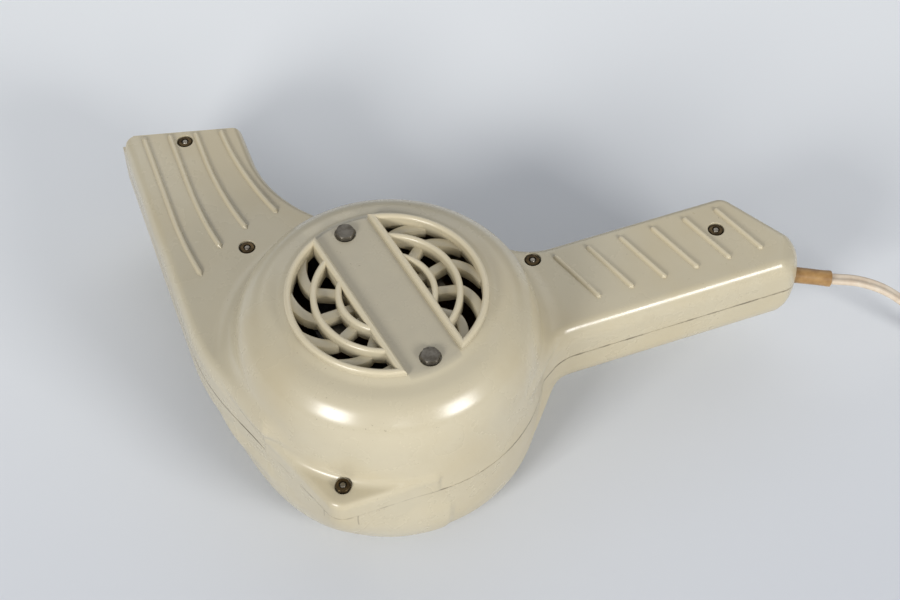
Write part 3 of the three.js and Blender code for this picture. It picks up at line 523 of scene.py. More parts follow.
def follow(piece: bpy.types.Object, solid: Field, near: float = 0.1, within: float = 40.0) -> None:
    """Shade a mesh by its field: corners that lie on the field's surface take the field's slope as normal.

    A corner keeps its mesh normal where it is off that surface, or where its face leans from the slope by
    more than an angle. A sliver is too small for its lean to mean anything, so it only has to face outwards.

    Args:
        piece: The object.
        solid: The field.
        near: How close to the surface a corner has to be.
        within: The angle in degrees.
    """
    mesh = piece.data
    at = np.empty(len(mesh.vertices) * 3, np.float32)
    mesh.vertices.foreach_get("co", at)
    at = at.reshape(-1, 3).astype(float) / MM
    apart, sliver = 0.7, 0.06 * MM * MM
    slope = slope_of(solid, at, apart)
    slope /= np.maximum(np.linalg.norm(slope, axis=1, keepdims=True), 1e-6)
    on = np.abs(solid(*at.T)) < near
    owner = np.empty(len(mesh.loops), np.int32)
    mesh.loops.foreach_get("vertex_index", owner)
    corner = np.empty(len(mesh.loops) * 3, np.float32)
    mesh.corner_normals.foreach_get("vector", corner)
    flat = np.empty(len(mesh.polygons) * 3, np.float32)
    mesh.polygons.foreach_get("normal", flat)
    count = np.empty(len(mesh.polygons), np.int32)
    mesh.polygons.foreach_get("loop_total", count)
    flat = np.repeat(flat.reshape(-1, 3), count, 0)
    area = np.empty(len(mesh.polygons), np.float32)
    mesh.polygons.foreach_get("area", area)
    limit = np.where(np.repeat(area, count) < sliver, 0.0, math.cos(math.radians(within)))
    take = on[owner] & ((slope[owner] * flat).sum(1) > limit)
    mesh.normals_split_custom_set(np.where(take[:, None], slope[owner], corner.reshape(-1, 3)).tolist())


# ------------------------------------------------------------------ node expressions
class Value:
    """A number on a node's socket, which adds Math nodes when it is used in an expression."""

    def __init__(self, paint: "Paint", socket: bpy.types.NodeSocket) -> None:
        """Wrap a socket of a paint's tree."""
        self.paint, self.socket = paint, socket

    def _with(self, operation: str, *others: "Value | float", first: bool = True) -> "Value":
        """A Math node on this value and others."""
        inputs = [self, *others] if first else [*others, self]
        return self.paint.node("ShaderNodeMath", {"operation": operation}, dict(enumerate(inputs)))

    def __add__(self, other: "Value | float") -> "Value":
        """Sum."""
        return self._with("ADD", other)

    __radd__ = __add__

    def __sub__(self, other: "Value | float") -> "Value":
        """Difference."""
        return self._with("SUBTRACT", other)

    def __rsub__(self, other: "Value | float") -> "Value":
        """Difference, the other way round."""
        return self._with("SUBTRACT", other, first=False)

    def __mul__(self, other: "Value | float") -> "Value":
        """Product."""
        return self._with("MULTIPLY", other)

    __rmul__ = __mul__

    def __abs__(self) -> "Value":
        """Size without sign."""
        return self._with("ABSOLUTE")

    def most(self, other: "Value | float") -> "Value":
        """The greater of two."""
        return self._with("MAXIMUM", other)

    def eased(self, low: float, high: float) -> "Value":
        """0 below low, 1 above high, and smooth in between; the other way round where low is the greater."""
        return self.paint.node("ShaderNodeMapRange", {"interpolation_type": "SMOOTHSTEP"},
                               {"Value": self, "From Min": low, "From Max": high})


class Paint:
    """A material's node tree, with one method that adds any node."""

    def __init__(self, name: str) -> None:
        """Start a material with a principled shader."""
        self.material = bpy.data.materials.new(name)
        self.material.use_nodes = True
        self.tree = self.material.node_tree
        self.tree.nodes.clear()
        self.shader = self.tree.nodes.new("ShaderNodeBsdfPrincipled")
        out = self.tree.nodes.new("ShaderNodeOutputMaterial")
        self.tree.links.new(self.shader.outputs[0], out.inputs[0])
        self.place = self.node("ShaderNodeTexCoord", {}, {}, "Object")

    def node(self, kind: str, settings: dict, inputs: dict, output: str | int = 0) -> Value:
        """Add a node.

        Args:
            kind: The node's type.
            settings: Its own settings, set first.
            inputs: Values or links of its sockets, by name or number.
            output: The output that is wanted.

        Returns:
            That output.
        """
        made = self.tree.nodes.new(kind)
        for key, value in settings.items():
            setattr(made, key, value)
        for key, value in inputs.items():
            socket = made.inputs[key]
            if isinstance(value, Value):
                self.tree.links.new(value.socket, socket)
            else:
                socket.default_value = value
        return Value(self, made.outputs[output])

    def noise(self, scale: float, detail: float = 3.0, roughness: float = 0.55,
              distortion: float = 0.0) -> Value:
        """Noise from 0 to 1 at so many waves a metre."""
        return self.node("ShaderNodeTexNoise", {}, {
            "Vector": self.place, "Scale": scale, "Detail": detail, "Roughness": roughness,
            "Distortion": distortion}, "Fac")

    def axes(self) -> tuple[Value, Value, Value]:
        """The object coordinates, each as a number in millimetres."""
        parts = [self.node("ShaderNodeSeparateXYZ", {}, {0: self.place}, k) for k in "XYZ"]
        return tuple(p * (1 / MM) for p in parts)

    def mixed(self, share: Value | float, a: "Value | tuple", b: "Value | tuple") -> Value:
        """A colour between two."""
        full = [v if isinstance(v, Value) else (*v, 1.0) for v in (a, b)]
        return self.node("ShaderNodeMix", {"data_type": "RGBA"}, {0: share, 6: full[0], 7: full[1]}, 2)

    def set(self, socket: str, value: Value | float | tuple) -> None:
        """Set or link one of the shader's sockets."""
        if isinstance(value, Value):
            self.tree.links.new(value.socket, self.shader.inputs[socket])
        else:
            full = (*value, 1.0) if isinstance(value, tuple) and len(value) == 3 else value
            self.shader.inputs[socket].default_value = full

    def bump(self, height: Value, distance: float, strength: float = 1.0) -> None:
        """Raise the surface's normal by a height from 0 to 1, over a distance in metres."""
        self.set("Normal", self.node("ShaderNodeBump", {}, {
            "Height": height, "Distance": distance, "Strength": strength}))


Colour = tuple[float, float, float]


@dataclass(frozen=True)
class Moulding:
    """Ivory thermoset: a gloss with yellowed patches, fine dirt at the parting line, and raised crests made
    lighter, partly by rubbed wear and partly as a painted highlight.
    """

    name: str = "ivory_moulding"
    clean: Colour = (0.555, 0.495, 0.352)
    yellowed: Colour = (0.51, 0.425, 0.258)
    dulled: Colour = (0.47, 0.413, 0.288)
    rubbed_and_lit: Colour = (0.67, 0.585, 0.405)
    grimed: Colour = (0.43, 0.387, 0.285)
    dirt: Colour = (0.10, 0.07, 0.04)

    def material(self) -> bpy.types.Material:
        """Build the node tree."""
        p = Paint(self.name)
        x, y, z = p.axes()
        cloud = p.noise(14, 4, 0.6).eased(0.38, 0.68)
        warm = p.noise(32, 3, 0.5, 0.4).eased(0.45, 0.75)
        base = p.mixed(cloud * 0.55, self.clean, self.yellowed)
        base = p.mixed(warm * 0.25, base, self.dulled)
        out = x * x + y * y
        # Rib crests and grille crowns are mixed lighter: partly rubbed wear, partly a painted highlight where
        # light catches them.
        worn_and_lit = z.eased(59.15, 60.1) * out.eased(72.0 ** 2, 73.5 ** 2) + z.eased(91.2, 92.6)
        base = p.mixed(worn_and_lit * 0.75, base, self.rubbed_and_lit)
        across = abs(x * 0.9877 + y * 0.1564)
        bar = across.eased(11.6, 10.9) * out.eased(45.0 ** 2, 41.0 ** 2) * z.eased(89.0, 89.8)
        base = p.mixed(bar * (p.noise(120, 4, 0.65) * 0.5 + 0.5), base, self.grimed)
        away = abs(z - 42.0)
        line = away.eased(0.9, 0.15) * p.noise(90, 3, 0.6).eased(0.36, 0.62)
        base = p.mixed(line * 0.65, base, self.dirt)
        specks = p.noise(900, 2, 0.5).eased(0.715, 0.76) * p.noise(45, 2).eased(0.5, 0.62)
        base = p.mixed(specks * 0.5, base, self.dirt)
        base = p.mixed(self.cracks(p, x, y, z) * 0.45, base, self.dirt)
        p.set("Base Color", base)
        p.set("Roughness", p.noise(60, 4, 0.6).eased(0.2, 0.8) * 0.08 + cloud * 0.05 + 0.225)
        p.set("IOR", 1.52)
        p.set("Specular IOR Level", 0.5)
        p.set("Coat Roughness", 0.2)
        p.set("Coat Weight", 0.2)
        p.bump(p.noise(700, 3, 0.6) * 0.2 + p.noise(70, 2, 0.4) * 0.8, 0.00005, 0.5)
        return p.material

    @staticmethod
    def cracks(p: Paint, x: Value, y: Value, z: Value) -> Value:
        """Two fine cracks under the lug's parting line, one each side of its corner."""
        wander = p.noise(160, 2, 0.5) * 3.0
        first = abs(y + 54.6 + wander * 0.5).eased(0.42, 0.1) * z.eased(36.5, 38.0)
        low = z.eased(41.9, 41.6) * x.eased(-40.0, -42.0)
        second = abs(x + 34.2 + wander * 0.5).eased(0.42, 0.1) * z.eased(34.5, 36.0)
        under = z.eased(41.9, 41.6) * y.eased(-58.0, -60.0)
        return (first * low).most(second * under)


@dataclass(frozen=True)
class Metal:
    """A dulled metal: colour and gloss vary over it, with darker tarnish in patches."""

    name: str
    bright: Colour
    tarnish: Colour
    rough: float = 0.35
    patches: float = 0.5
    grain: float = 900.0

    def material(self) -> bpy.types.Material:
        """Build the node tree."""
        p = Paint(self.name)
        dull = p.noise(260, 4, 0.65).eased(0.35, 0.7) * self.patches
        p.set("Base Color", p.mixed(dull, self.bright, self.tarnish))
        p.set("Metallic", 1.0)
        p.set("Roughness", dull * 0.25 + p.noise(self.grain, 3, 0.6) * 0.12 + (self.rough - 0.06))
        p.bump(p.noise(self.grain, 3, 0.6), 0.00005, 0.6)
        return p.material


@dataclass(frozen=True)
class Plain:
    """A non-metal: two shades mixed in patches, with a fine grain in its gloss and its surface."""

    name: str
    one: Colour
    two: Colour
    rough: float = 0.5
    patch: float = 90.0
    grain: float = 1100.0
    depth: float = 0.00006

    def material(self) -> bpy.types.Material:
        """Build the node tree."""
        p = Paint(self.name)
        share = p.noise(self.patch, 4, 0.6).eased(0.3, 0.72)
        p.set("Base Color", p.mixed(share, self.one, self.two))
        p.set("Roughness", p.noise(self.grain * 0.3, 3, 0.6) * 0.16 + (self.rough - 0.08))
        p.bump(p.noise(self.grain, 3, 0.6), self.depth, 0.6)
        return p.material


@dataclass(frozen=True)
class Flex:
    """The flat cord's skin: two pale shades in patches, with painted shade darkening the valley between
    strands.
    """

    name: str = "twin_flex"
    crown: Colour = (0.72, 0.63, 0.50)
    side: Colour = (0.62, 0.50, 0.37)
    valley: Colour = (0.14, 0.08, 0.045)

    def material(self) -> bpy.types.Material:
        """Build the node tree."""
        p = Paint(self.name)
        across = p.node("ShaderNodeAttribute", {"attribute_name": "valley"}, {}, "Fac")
        base = p.mixed(p.noise(130, 3, 0.6).eased(0.35, 0.7), self.crown, self.side)
        # Painted shade: the valley between the two strands is mixed towards a dark brown.
        p.set("Base Color", p.mixed(across.eased(0.35, 0.95) * 0.75, base, self.valley))
        p.set("Roughness", p.noise(300, 3, 0.6) * 0.2 + 0.38)
        p.bump(p.noise(900, 3, 0.6), 0.00006, 0.6)
        return p.material


class Finish(Enum):
    """The object's finishes, each with the name of the slot that it stands for."""

    SHELL = ("shell", Moulding())
    STEEL = ("steel", Metal("dull_steel", (0.25, 0.228, 0.19), (0.10, 0.083, 0.06), 0.54, 0.7))
    BRIGHT = ("steel", Metal("bright_steel", (0.30, 0.275, 0.23), (0.13, 0.105, 0.075), 0.36, 0.7))
    # Nut brass: dark partly from age and partly as painted shade of the sunk nut wells.
    BRASS = ("brass", Metal("aged_brass_and_recess_shade", (0.13, 0.09, 0.045), (0.04, 0.028, 0.016), 0.42, 0.8))
    PIN = ("brass", Metal("plug_brass", (0.58, 0.44, 0.21), (0.33, 0.23, 0.1), 0.3, 0.5))
    BRONZE = ("bronze", Metal("oiled_bronze", (0.42, 0.28, 0.14), (0.2, 0.12, 0.06), 0.4, 0.6))
    IRON = ("iron", Metal("sheet_iron", (0.17, 0.165, 0.16), (0.06, 0.045, 0.035), 0.5, 0.8))
    COPPER = ("copper", Metal("enamelled_copper", (0.62, 0.33, 0.09), (0.34, 0.15, 0.035), 0.36, 0.6))
    CARBON = ("carbon", Plain("carbon_brush", (0.02, 0.02, 0.021), (0.035, 0.034, 0.034), 0.62))
    PHENOLIC = ("phenolic", Plain("brown_phenolic", (0.17, 0.082, 0.028), (0.10, 0.045, 0.016), 0.4))
    FAN = ("fan", Plain("fan_moulding", (0.035, 0.035, 0.037), (0.055, 0.052, 0.05), 0.42))
    MICA = ("mica", Plain("mica_board", (0.46, 0.38, 0.24), (0.33, 0.26, 0.15), 0.45, 60, 500))
    WIRE = ("nichrome", Metal("oxidised_wire", (0.24, 0.22, 0.2), (0.1, 0.085, 0.075), 0.45, 0.7))
    LEAD = ("lead", Plain("insulated_lead", (0.28, 0.05, 0.035), (0.2, 0.035, 0.03), 0.5))
    SLEEVE = ("sleeve", Plain("tan_sleeve", (0.42, 0.25, 0.095), (0.28, 0.15, 0.05), 0.34, 220))
    CORD = ("cord", Flex())
    DARK = ("dark_plastic", Plain("dark_moulding", (0.035, 0.018, 0.011), (0.05, 0.028, 0.018), 0.3))

    def give(self, piece: bpy.types.Object) -> bpy.types.Object:
        """Put this finish on a piece, in place of what it has."""
        made = bpy.data.materials.get(self.value[1].name) or self.value[1].material()
        piece.data.materials.clear()
        piece.data.materials.append(made)
        return piece


def report(piece: bpy.types.Object, body: Body, finish: Finish, *nodes: str) -> bpy.types.Object:
    """Dress a piece, ride it on its body, let it stand for its frame nodes, and log it."""
    finish.give(piece)
    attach(piece, body.value)
    if nodes:
        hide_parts(*nodes)
    log.info("%-22s %6d faces", piece.name, len(piece.data.polygons))
    return piece


# ------------------------------------------------------------------ housing
@dataclass(frozen=True)
class Screw:
    """A housing screw's place in plan, the faces above and below it, and how deep its nut is sunk."""

    name: str
    x: float
    y: float
    top: float
    low: float
    sunk: float


@dataclass
class Housing:
    """The two moulded shells, which meet at the parting plane."""

    drum: float = 63.0
    handle: float = 182.0
    nozzle: float = 148.0
    seam: float = 42.0
    half: float = 17.0
    wall: float = 2.6
    gap: float = 0.3
    bar_z: float = 90.2
    rim_z: float = 93.0
    rim_r: float = 40.0
    bar_half: float = 11.85
    bar_turn: float = math.radians(-81)
    lug_z: float = 51.0
    bolt_in: float = 5.0
    hole_r: float = 1.75
    post_r: float = 4.6
    grille_z: float = 90.0
    rings_in: tuple[float, float] = (11.4, 21.2)
    spoke_count: int = 13
    pitch: float = 1.15
    screws: list[Screw] = field(default_factory=list)

    def __post_init__(self) -> None:
        """Work out the outlines and their distance sheets."""
        d, n = self.drum, self.nozzle
        self.nozzle_out, self.nozzle_in = -(d + 12.8), -(d - 41)
        self.mouth_drop = 13.4
        corner = np.array([-(d - 19.2), -d])
        along = np.array([-0.35, 0.937]) / math.hypot(0.35, 0.937)
        bend = corner + along * 1.38 * d
        throat = 60.0
        tx = self.nozzle_in + throat
        ty = math.sqrt((d + throat) ** 2 - tx ** 2)
        k = d / (d + throat)
        handle = [(d - 22, -39, 0), (d + 4.5, -21.5, 20), (self.handle + 6, -21.5, 10.5),
                  (self.handle - 21, 25.5, 8), (d + 10, 25.5, 24), (d - 18, 43, 0)]
        nozzle = [(d * 0.25, d * 0.3, 0), (tx * k + 1, ty * k - 0.25, 0),
                  (self.nozzle_in, (d ** 2 - self.nozzle_in * tx * k) / (ty * k), throat),
                  (self.nozzle_in, n + 15, 0), (self.nozzle_out + 2.2, n + 15, 0), (*bend, 110),
                  (-59.2, -22.1, 0), (-d * 0.3, -d * 0.6, 0)]
        lug = [(*corner, 8), (-2, -d, 0), (-2, -d + 12, 0), (-d * 0.55, -d * 0.2, 0), (-59.2, -22.1, 0)]
        scroll = [(*corner, 8), (2, -d + 0.8, 0), (0, 0, 0), (bend[0] * 0.6, bend[1] + 20, 0),
                  (bend[0] + 0.4, bend[1], 30)]
        low, high = (-90.0, -76.0), (196.0, 170.0)
        self.plan = {key: Sheet(rounded(value), low, high, 0.5) for key, value in {
            "handle": handle, "nozzle": nozzle, "lug": lug, "scroll": scroll}.items()}
        front = smooth_line([(d, 42), (d - 1.2, 57), (d - 2.4, 71), (d - 3.8, 76.4), (d - 5.6, 80.2),
                             (d - 8.0, 83.1), (d - 11, 85.8), (d - 14.5, 87.5), (d - 18, 88.2),
                             (43, 88.6), (39.9, 90.2)], 130)
        rear = smooth_line([(d - 17.5, 0), (d - 12, 1.2), (d - 7, 4.2), (d - 3.1, 9.4), (d - 1.2, 16.5),
                            (d - 0.4, 26), (d, 42)], 70)
        bowl = smooth_line([(d - 12, 1.6), (d - 3.2, 9), (d + 1, 14.5), (d + 6, 23), (d + 12.5, 34.5),
                            (d + 19, 48)], 60)
        self.drum_front = self.turned_sheet(front, (-6, 90.2), (-6, 20), (d, 20))
        self.drum_rear = self.turned_sheet(rear, (d, 60), (-6, 60), (-6, 0))
        self.bowl = self.turned_sheet(bowl, (d + 19, 60), (-6, 60), (-6, 0.4))
        self.screws = [
            Screw("lug", -(d - 25.2), -(d - 9.1), self.lug_z, self.seam - 13, 0.9),
            Screw("handle_end", self.handle - 32.7, 7.5, self.top, self.low, 3),
            Screw("handle_root", d + 7.4, 19.4, self.top, self.low, 3),
            Screw("nozzle_tip", self.nozzle_out + 28, n - 12.7, self.top, self.low, 3),
            Screw("nozzle_root", self.nozzle_out + 36.4, d + 4.6, self.top, self.low, 3),
        ]

    @property
    def top(self) -> float:
        """Outside face of the handle and nozzle, front shell."""
        return self.seam + self.half

    @property
    def low(self) -> float:
        """The same, rear shell."""
        return self.seam - self.half

    # -------------------------------------------------------------- fields
    @staticmethod
    def turned_sheet(line: Array, *ends: tuple[float, float]) -> Sheet:
        """Distance sheet of a (radius, height) profile that is closed through some end points."""
        return Sheet(np.array([*line, *ends]), (0, -6), (110, 100), 0.4)

    def arms(self, x: Array, y: Array, z: Array) -> tuple[Array, Array]:
        """Distances to the handle and to the nozzle.

        The handle's tip is rounded again as seen from the side: along its slanting end it is an oval, whose
        radii are the tip's length and half the handle's depth.
        """
        away = np.abs(z - self.seam)
        handle = pillow(self.plan["handle"](x, y), away, 5, 9, self.half)
        along, aside, length, past = 0.866, 0.5, 9.5, 5.4
        u = x * along - y * aside - (self.handle * along + past - length)
        level = np.sqrt((np.maximum(u, 0) / length) ** 2 + (away / self.half) ** 2)
        slope = np.sqrt((np.maximum(u, 0) / length ** 2) ** 2 + (away / self.half ** 2) ** 2)
        tip = (level - 1) * level / np.maximum(slope, 1e-3)
        handle = eased(handle, tip, np.clip(u, 0.01, 4))
        nozzle = pillow(self.plan["nozzle"](x, y), away, 4.2, 8, self.half)
        return handle, nozzle

    def fairing(self, z: Array) -> Array:
        """Fillet radius at a height: small at the parting plane, 10 at the faces."""
        return 0.9 + 9.1 * ramp(np.abs(z - self.seam), 7, 16)

    def front(self, x: Array, y: Array, z: Array) -> Array:
        """Outside of the front shell's body."""
        handle, nozzle = self.arms(x, y, z)
        drum = self.drum_front(np.hypot(x, y), z)
        lug = pillow(self.plan["lug"](x, y), z - 40, 2.4, 3, self.lug_z - 40)
        r = self.fairing(z)
        body = filleted(drum, handle, r)
        body = filleted(body, nozzle, r)
        return filleted(body, lug, 1.4 + 1.8 * ramp(z, 47, 51))

    def rear(self, x: Array, y: Array, z: Array) -> Array:
        """Outside of the rear shell's body."""
        handle, nozzle = self.arms(x, y, z)
        radius = np.hypot(x, y)
        drum = self.drum_rear(radius, z)
        scroll = eased(self.plan["scroll"](x, y), self.bowl(radius, z), 4.0)
        r = self.fairing(z)
        body = filleted(drum, scroll, 0.8 + 3 * ramp(-z, -36, -24))
        body = filleted(body, handle, r)
        return filleted(body, nozzle, 0.9 + 5 * ramp(self.seam - z, 7, 16))

    # -------------------------------------------------------------- tools
    def block(self, name: str, low: Sequence[float], high: Sequence[float]) -> bpy.types.Object:
        """A plain box for cutting."""
        (x0, y0, z0), (x1, y1, z1) = low, high
        plan = ((x0, y0), (x1, y0), (x1, y1), (x0, y1))
        return new_mesh(name, np.array([(x, y, z) for z in (z0, z1) for x, y in plan]), BOX_FACES)

    def slab(self, name: str, low: float, high: float) -> bpy.types.Object:
        """A box wider than the dryer between two heights, for cutting."""
        return self.block(name, (-200, -200, low), (300, 300, high))

    def mouth_y(self, x: float) -> float:
        """Where the mouth's face stands at a place across the nozzle: it slopes back towards the drum."""
        slope = self.mouth_drop / (self.nozzle_in - self.nozzle_out)
        return self.nozzle - slope * (x - self.nozzle_out)

    def past_mouth(self) -> bpy.types.Object:
        """Everything past the mouth's face, for cutting."""
        x0, x1, beyond = self.nozzle_out - 20, self.nozzle_in + 20, 60
        y0, y1 = self.mouth_y(x0), self.mouth_y(x1)
        plan = np.array([(x0, y0), (x1, y1), (x1, y1 + beyond), (x0, y0 + beyond)])
        points = np.concatenate([np.column_stack([plan, np.full(4, z)]) for z in (10.0, 80.0)])
        return new_mesh("past_mouth", points, BOX_FACES)

    def prism(self, name: str, outline: Array, low: float, high: float) -> bpy.types.Object:
        """An upright prism of an outline in plan."""
        n = len(outline)
        points = np.concatenate([np.column_stack([outline, np.full(n, z)]) for z in (low, high)])
        sides = [[k, (k + 1) % n, n + (k + 1) % n, n + k] for k in range(n)]
        faces = [list(range(n))[::-1], list(range(n, 2 * n)), *sides]
        return new_mesh(name, *fixed_outside(points, faces))

    def window(self, side: int, radius: float, chord: float, steps: int = 64) -> Array:
        """D-shaped outline beside the bar: an arc, closed by a chord at a distance from the axis."""
        start = math.asin(chord / radius)
        t = np.linspace(start, math.pi - start, steps)
        u, v = radius * np.cos(t), side * radius * np.sin(t)
        if side < 0:
            u, v = u[::-1], v[::-1]
        return self.on_bar(u, v)

    def on_bar(self, u: Array, v: Array) -> Array:
        """Plan points from places along and across the bar."""
        c, s = math.cos(self.bar_turn), math.sin(self.bar_turn)
        return np.stack([u * c - v * s, u * s + v * c], -1)

    def well(self, name: str, x: float, y: float, r: float, floor: float, face: float, lip: float,
             down: bool = False, tall: float = 9.0) -> bpy.types.Object:
        """A round recess to cut. Its mouth is rounded: radius r + lip (1 - cos t) at face - lip (1 - sin t).

        Args:
            name: The tool's name.
            x: Its place in plan.
            y: Its place in plan.
            r: Its radius.
            floor: Height of its floor.
            face: Height of the face that it is cut into.
            lip: Radius of its rounded mouth.
            down: Whether it is cut from below.
            tall: How far the tool stands out of the face.

        Returns:
            The tool.
        """
        sign = -1.0 if down else 1.0
        t = np.linspace(0, math.pi / 2, 5)
        edge = [(r + lip * (1 - math.cos(a)), face - sign * lip * (1 - math.sin(a))) for a in t]
        wide, end = r + lip + 0.4, face + sign * tall
        profile = [(0, floor), (r, floor), *edge, (wide, face + sign * 0.6), (wide, end), (0, end)]
        return new_mesh(name, *fixed_outside(*turned(profile, (x, y), 40)))

    def post(self, name: str, x: float, y: float, r: float, low: float, high: float,
             sides: int = 32) -> bpy.types.Object:
        """An upright cylinder."""
        profile = [(0, low), (r, low), (r, high), (0, high)]
        return new_mesh(name, *fixed_outside(*turned(profile, (x, y), sides)))

    def bolts(self) -> list[tuple[float, float]]:
        """Plan places of the two motor bolts, near the bar's ends."""
        out = self.rim_r - self.bolt_in
        return [tuple(self.on_bar(np.array(sign * out), np.array(0.0))) for sign in (1, -1)]

    # -------------------------------------------------------------- features
    def ribs(self) -> list[bpy.types.Object]:
        """Raised ribs: a half-round section with a flared foot, drawn in at each end by a quarter circle.

        The handle's are straight and even. The nozzle's run straight from the mouth, then bend as parabolas.
        """
        half_wide, tall = 1.2, 1.3
        t = np.linspace(0, math.pi, 11)
        crest = np.stack([half_wide * np.cos(t), tall * np.sin(t)], 1)
        section = np.concatenate([[[1.6, -0.9], [1.5, -0.05], [1.28, 0.12]], crest[1:-1],
                                  [[-1.28, 0.12], [-1.5, -0.05], [-1.6, -0.9]]])
        lines = []
        count, middle, reach = 6, 4.3, 14.4
        pitch = (self.handle - self.drum - 45) / (count - 1)
        dx, dy = 0.326 * reach, -0.946 * reach
        for i in range(count):
            x = self.drum + 21.1 + i * pitch
            lines.append(np.array([[x - dx, middle - dy], [x + dx, middle + dy]]))
        for i, low in enumerate((60.0, 71.5, 78.0, 82.0)):
            x0 = self.nozzle_out + 11.5 + 11 * i
            bend = self.nozzle - 53 + 13.5 * i
            y = np.linspace(self.mouth_y(x0) - 0.9, low - 1, 40)
            x = x0 + np.maximum(0, bend - y) ** 2 / (2 * (219 - 21 * i))
            lines.append(np.stack([x, y], 1))
        made = []
        fade = 1.5
        for k, line in enumerate(lines):
            line = evenly(line, 44)
            run = np.concatenate([[0], np.cumsum(np.linalg.norm(np.diff(line, axis=0), axis=1))])
            end = np.minimum(run, run[-1] - run)
            width = np.sqrt(np.clip(1 - (1 - np.clip(end / fade, 0, 1)) ** 2, 0.02, 1))
            path = np.column_stack([line, np.full(len(line), self.top)])
            made.append(new_mesh(f"rib_{k}", *fixed_outside(*swept(path, section, width))))
        return made

    def rims(self) -> list[bpy.types.Object]:
        """The two D-shaped rims: a tall section with a half-round crown, carried round the window's edge."""
        half, foot = 1.35, -4.5
        t = np.linspace(0, math.pi, 13)
        crown = np.stack([half * np.cos(t), 1.55 + half * np.sin(t)], 1)
        section = np.concatenate([[[half, foot]], crown, [[-half, foot]]])
        made = []
        for side in (1, -1):
            line = self.window(side, self.rim_r - half, self.bar_half + half, 90)
            path = np.column_stack([line, np.full(len(line), self.grille_z)])
            made.append(new_mesh(f"rim_{side}", *fixed_outside(*swept(path, section, closed=True))))
        return made

    def rings(self) -> list[bpy.types.Object]:
        """Arcs of two rings on each side of the bar, a little lower than the rims, with half-round crowns."""
        half, foot = 1.3, -4.6
        t = np.linspace(0, math.pi, 11)
        crown = np.stack([half * np.cos(t), half * np.sin(t) + 1.2], 1)
        section = np.concatenate([[[half, foot]], crown, [[-half, foot]]])
        made = []
        for side in (1, -1):
            for r in [self.rim_r - inwards for inwards in self.rings_in]:
                start = math.asin((self.bar_half + 0.9) / r)
                a = np.linspace(start, math.pi - start, 48)
                line = self.on_bar(r * np.cos(a), side * r * np.sin(a))
                path = np.column_stack([line, np.full(len(line), self.grille_z)])
                made.append(new_mesh(f"ring_{side}_{r:.0f}", *fixed_outside(*swept(path, section))))
        return made

    def spokes(self) -> list[bpy.types.Object]:
        """Flat-topped spokes and their hub: straight at first, then swept back by 21 degrees x out ^ 1.5."""
        section = np.array([[2.15, -2.4], [2.1, 1.4], [1.85, 1.95], [1.35, 2.15], [0.0, 2.2],
                            [-1.35, 2.15], [-1.85, 1.95], [-2.1, 1.4], [-2.15, -2.4]])
        r = np.concatenate([[8, 18, 26], np.linspace(28, self.rim_r - 1.1, 12)])
        out = np.maximum(0, r - (self.rim_r - 12)) / 10
        made = []
        for k in range(self.spoke_count):
            a = math.radians(16 + 360 / self.spoke_count * k) - math.radians(21) * out ** 1.5
            path = np.stack([r * np.cos(a), r * np.sin(a), np.full(len(r), 86.4)], 1)
            path = smooth_line(path, 24)
            made.append(new_mesh(f"spoke_{k}", *fixed_outside(*swept(path, section))))
        made.append(self.post("hub", 0, 0, 12, 84.2, 88.2, 48))
        return made

    def posts(self, front: bool) -> list[bpy.types.Object]:
        """Round posts inside a shell, which hold the housing screws."""
        made = []
        for s in self.screws:
            if front:
                span = (self.seam + self.gap / 2, s.top - 0.8)
            else:
                foot = 22.0 if s.name == "lug" else s.low + 1.0
                span = (foot, self.seam - self.gap / 2)
            made.append(self.post(f"post_{s.name}", s.x, s.y, self.post_r, *span))
        return made

    # -------------------------------------------------------------- the shells
    def build_front(self) -> bpy.types.Object:
        """The front shell with its grille, ribs, lug and recesses."""
        low, high = (-80, -67, 37.0), (190, 168, 94)
        shell = skin("front_shell_moulding", lambda x, y, z: np.maximum(self.front(x, y, z), 39.0 - z),
                     low, high, self.pitch)
        inner = skin("inner", lambda x, y, z: np.maximum(self.front(x, y, z) + self.wall, 38.4 - z),
                     low, high, 2.0)
        seam_face = self.seam + self.gap / 2
        cuts = [inner, self.slab("under", 0, seam_face), self.past_mouth()]
        x, y = self.nozzle_out + 2.2, self.nozzle - 0.5
        chip = np.array([(x - 4, y - 6), (x + 0.2, y - 4.6), (x + 1.6, y - 2.8), (x + 5.2, y - 1.6),
                         (x + 6.4, y + 5), (x - 4, y + 5)])
        cuts.append(self.prism("chip", chip, 52.5, 64))
        for side in (1, -1):
            edge = self.window(side, self.rim_r - 1.4, self.bar_half + 1.4)
            cuts.append(self.prism(f"window_{side}", edge, 84, 96))
        combine(shell, cuts, "DIFFERENCE")
        grille = [*self.rims(), *self.rings(), *self.spokes()]
        combine(shell, [*grille, *self.ribs(), *self.posts(True)], "UNION")
        trims = [self.slab("under", 0, seam_face), self.past_mouth()]
        for k, (x, y) in enumerate(self.bolts()):
            trims.append(self.well(f"bolt_well_{k}", x, y, 4.35, self.bar_z - 1.2, self.bar_z, 0.2))
            trims.append(self.post(f"bolt_hole_{k}", x, y, 2.25, 70, 95, 24))
        for s in self.screws:
            r, lip, tall = (3.5, 0.4, 9.0) if s.sunk > 1 else (3.3, 0.15, 1.9)
            trims.append(self.well(f"nut_well_{s.name}", s.x, s.y, r, s.top - s.sunk, s.top, lip, tall=tall))
            trims.append(self.post(f"screw_hole_{s.name}", s.x, s.y, self.hole_r, 30, 70, 20))
        trims += self.openings()
        combine(shell, trims, "DIFFERENCE")
        shade(shell, 32)
        follow(shell, self.front)
        return report(shell, Body.HOUSING, Finish.SHELL, "front_shell")

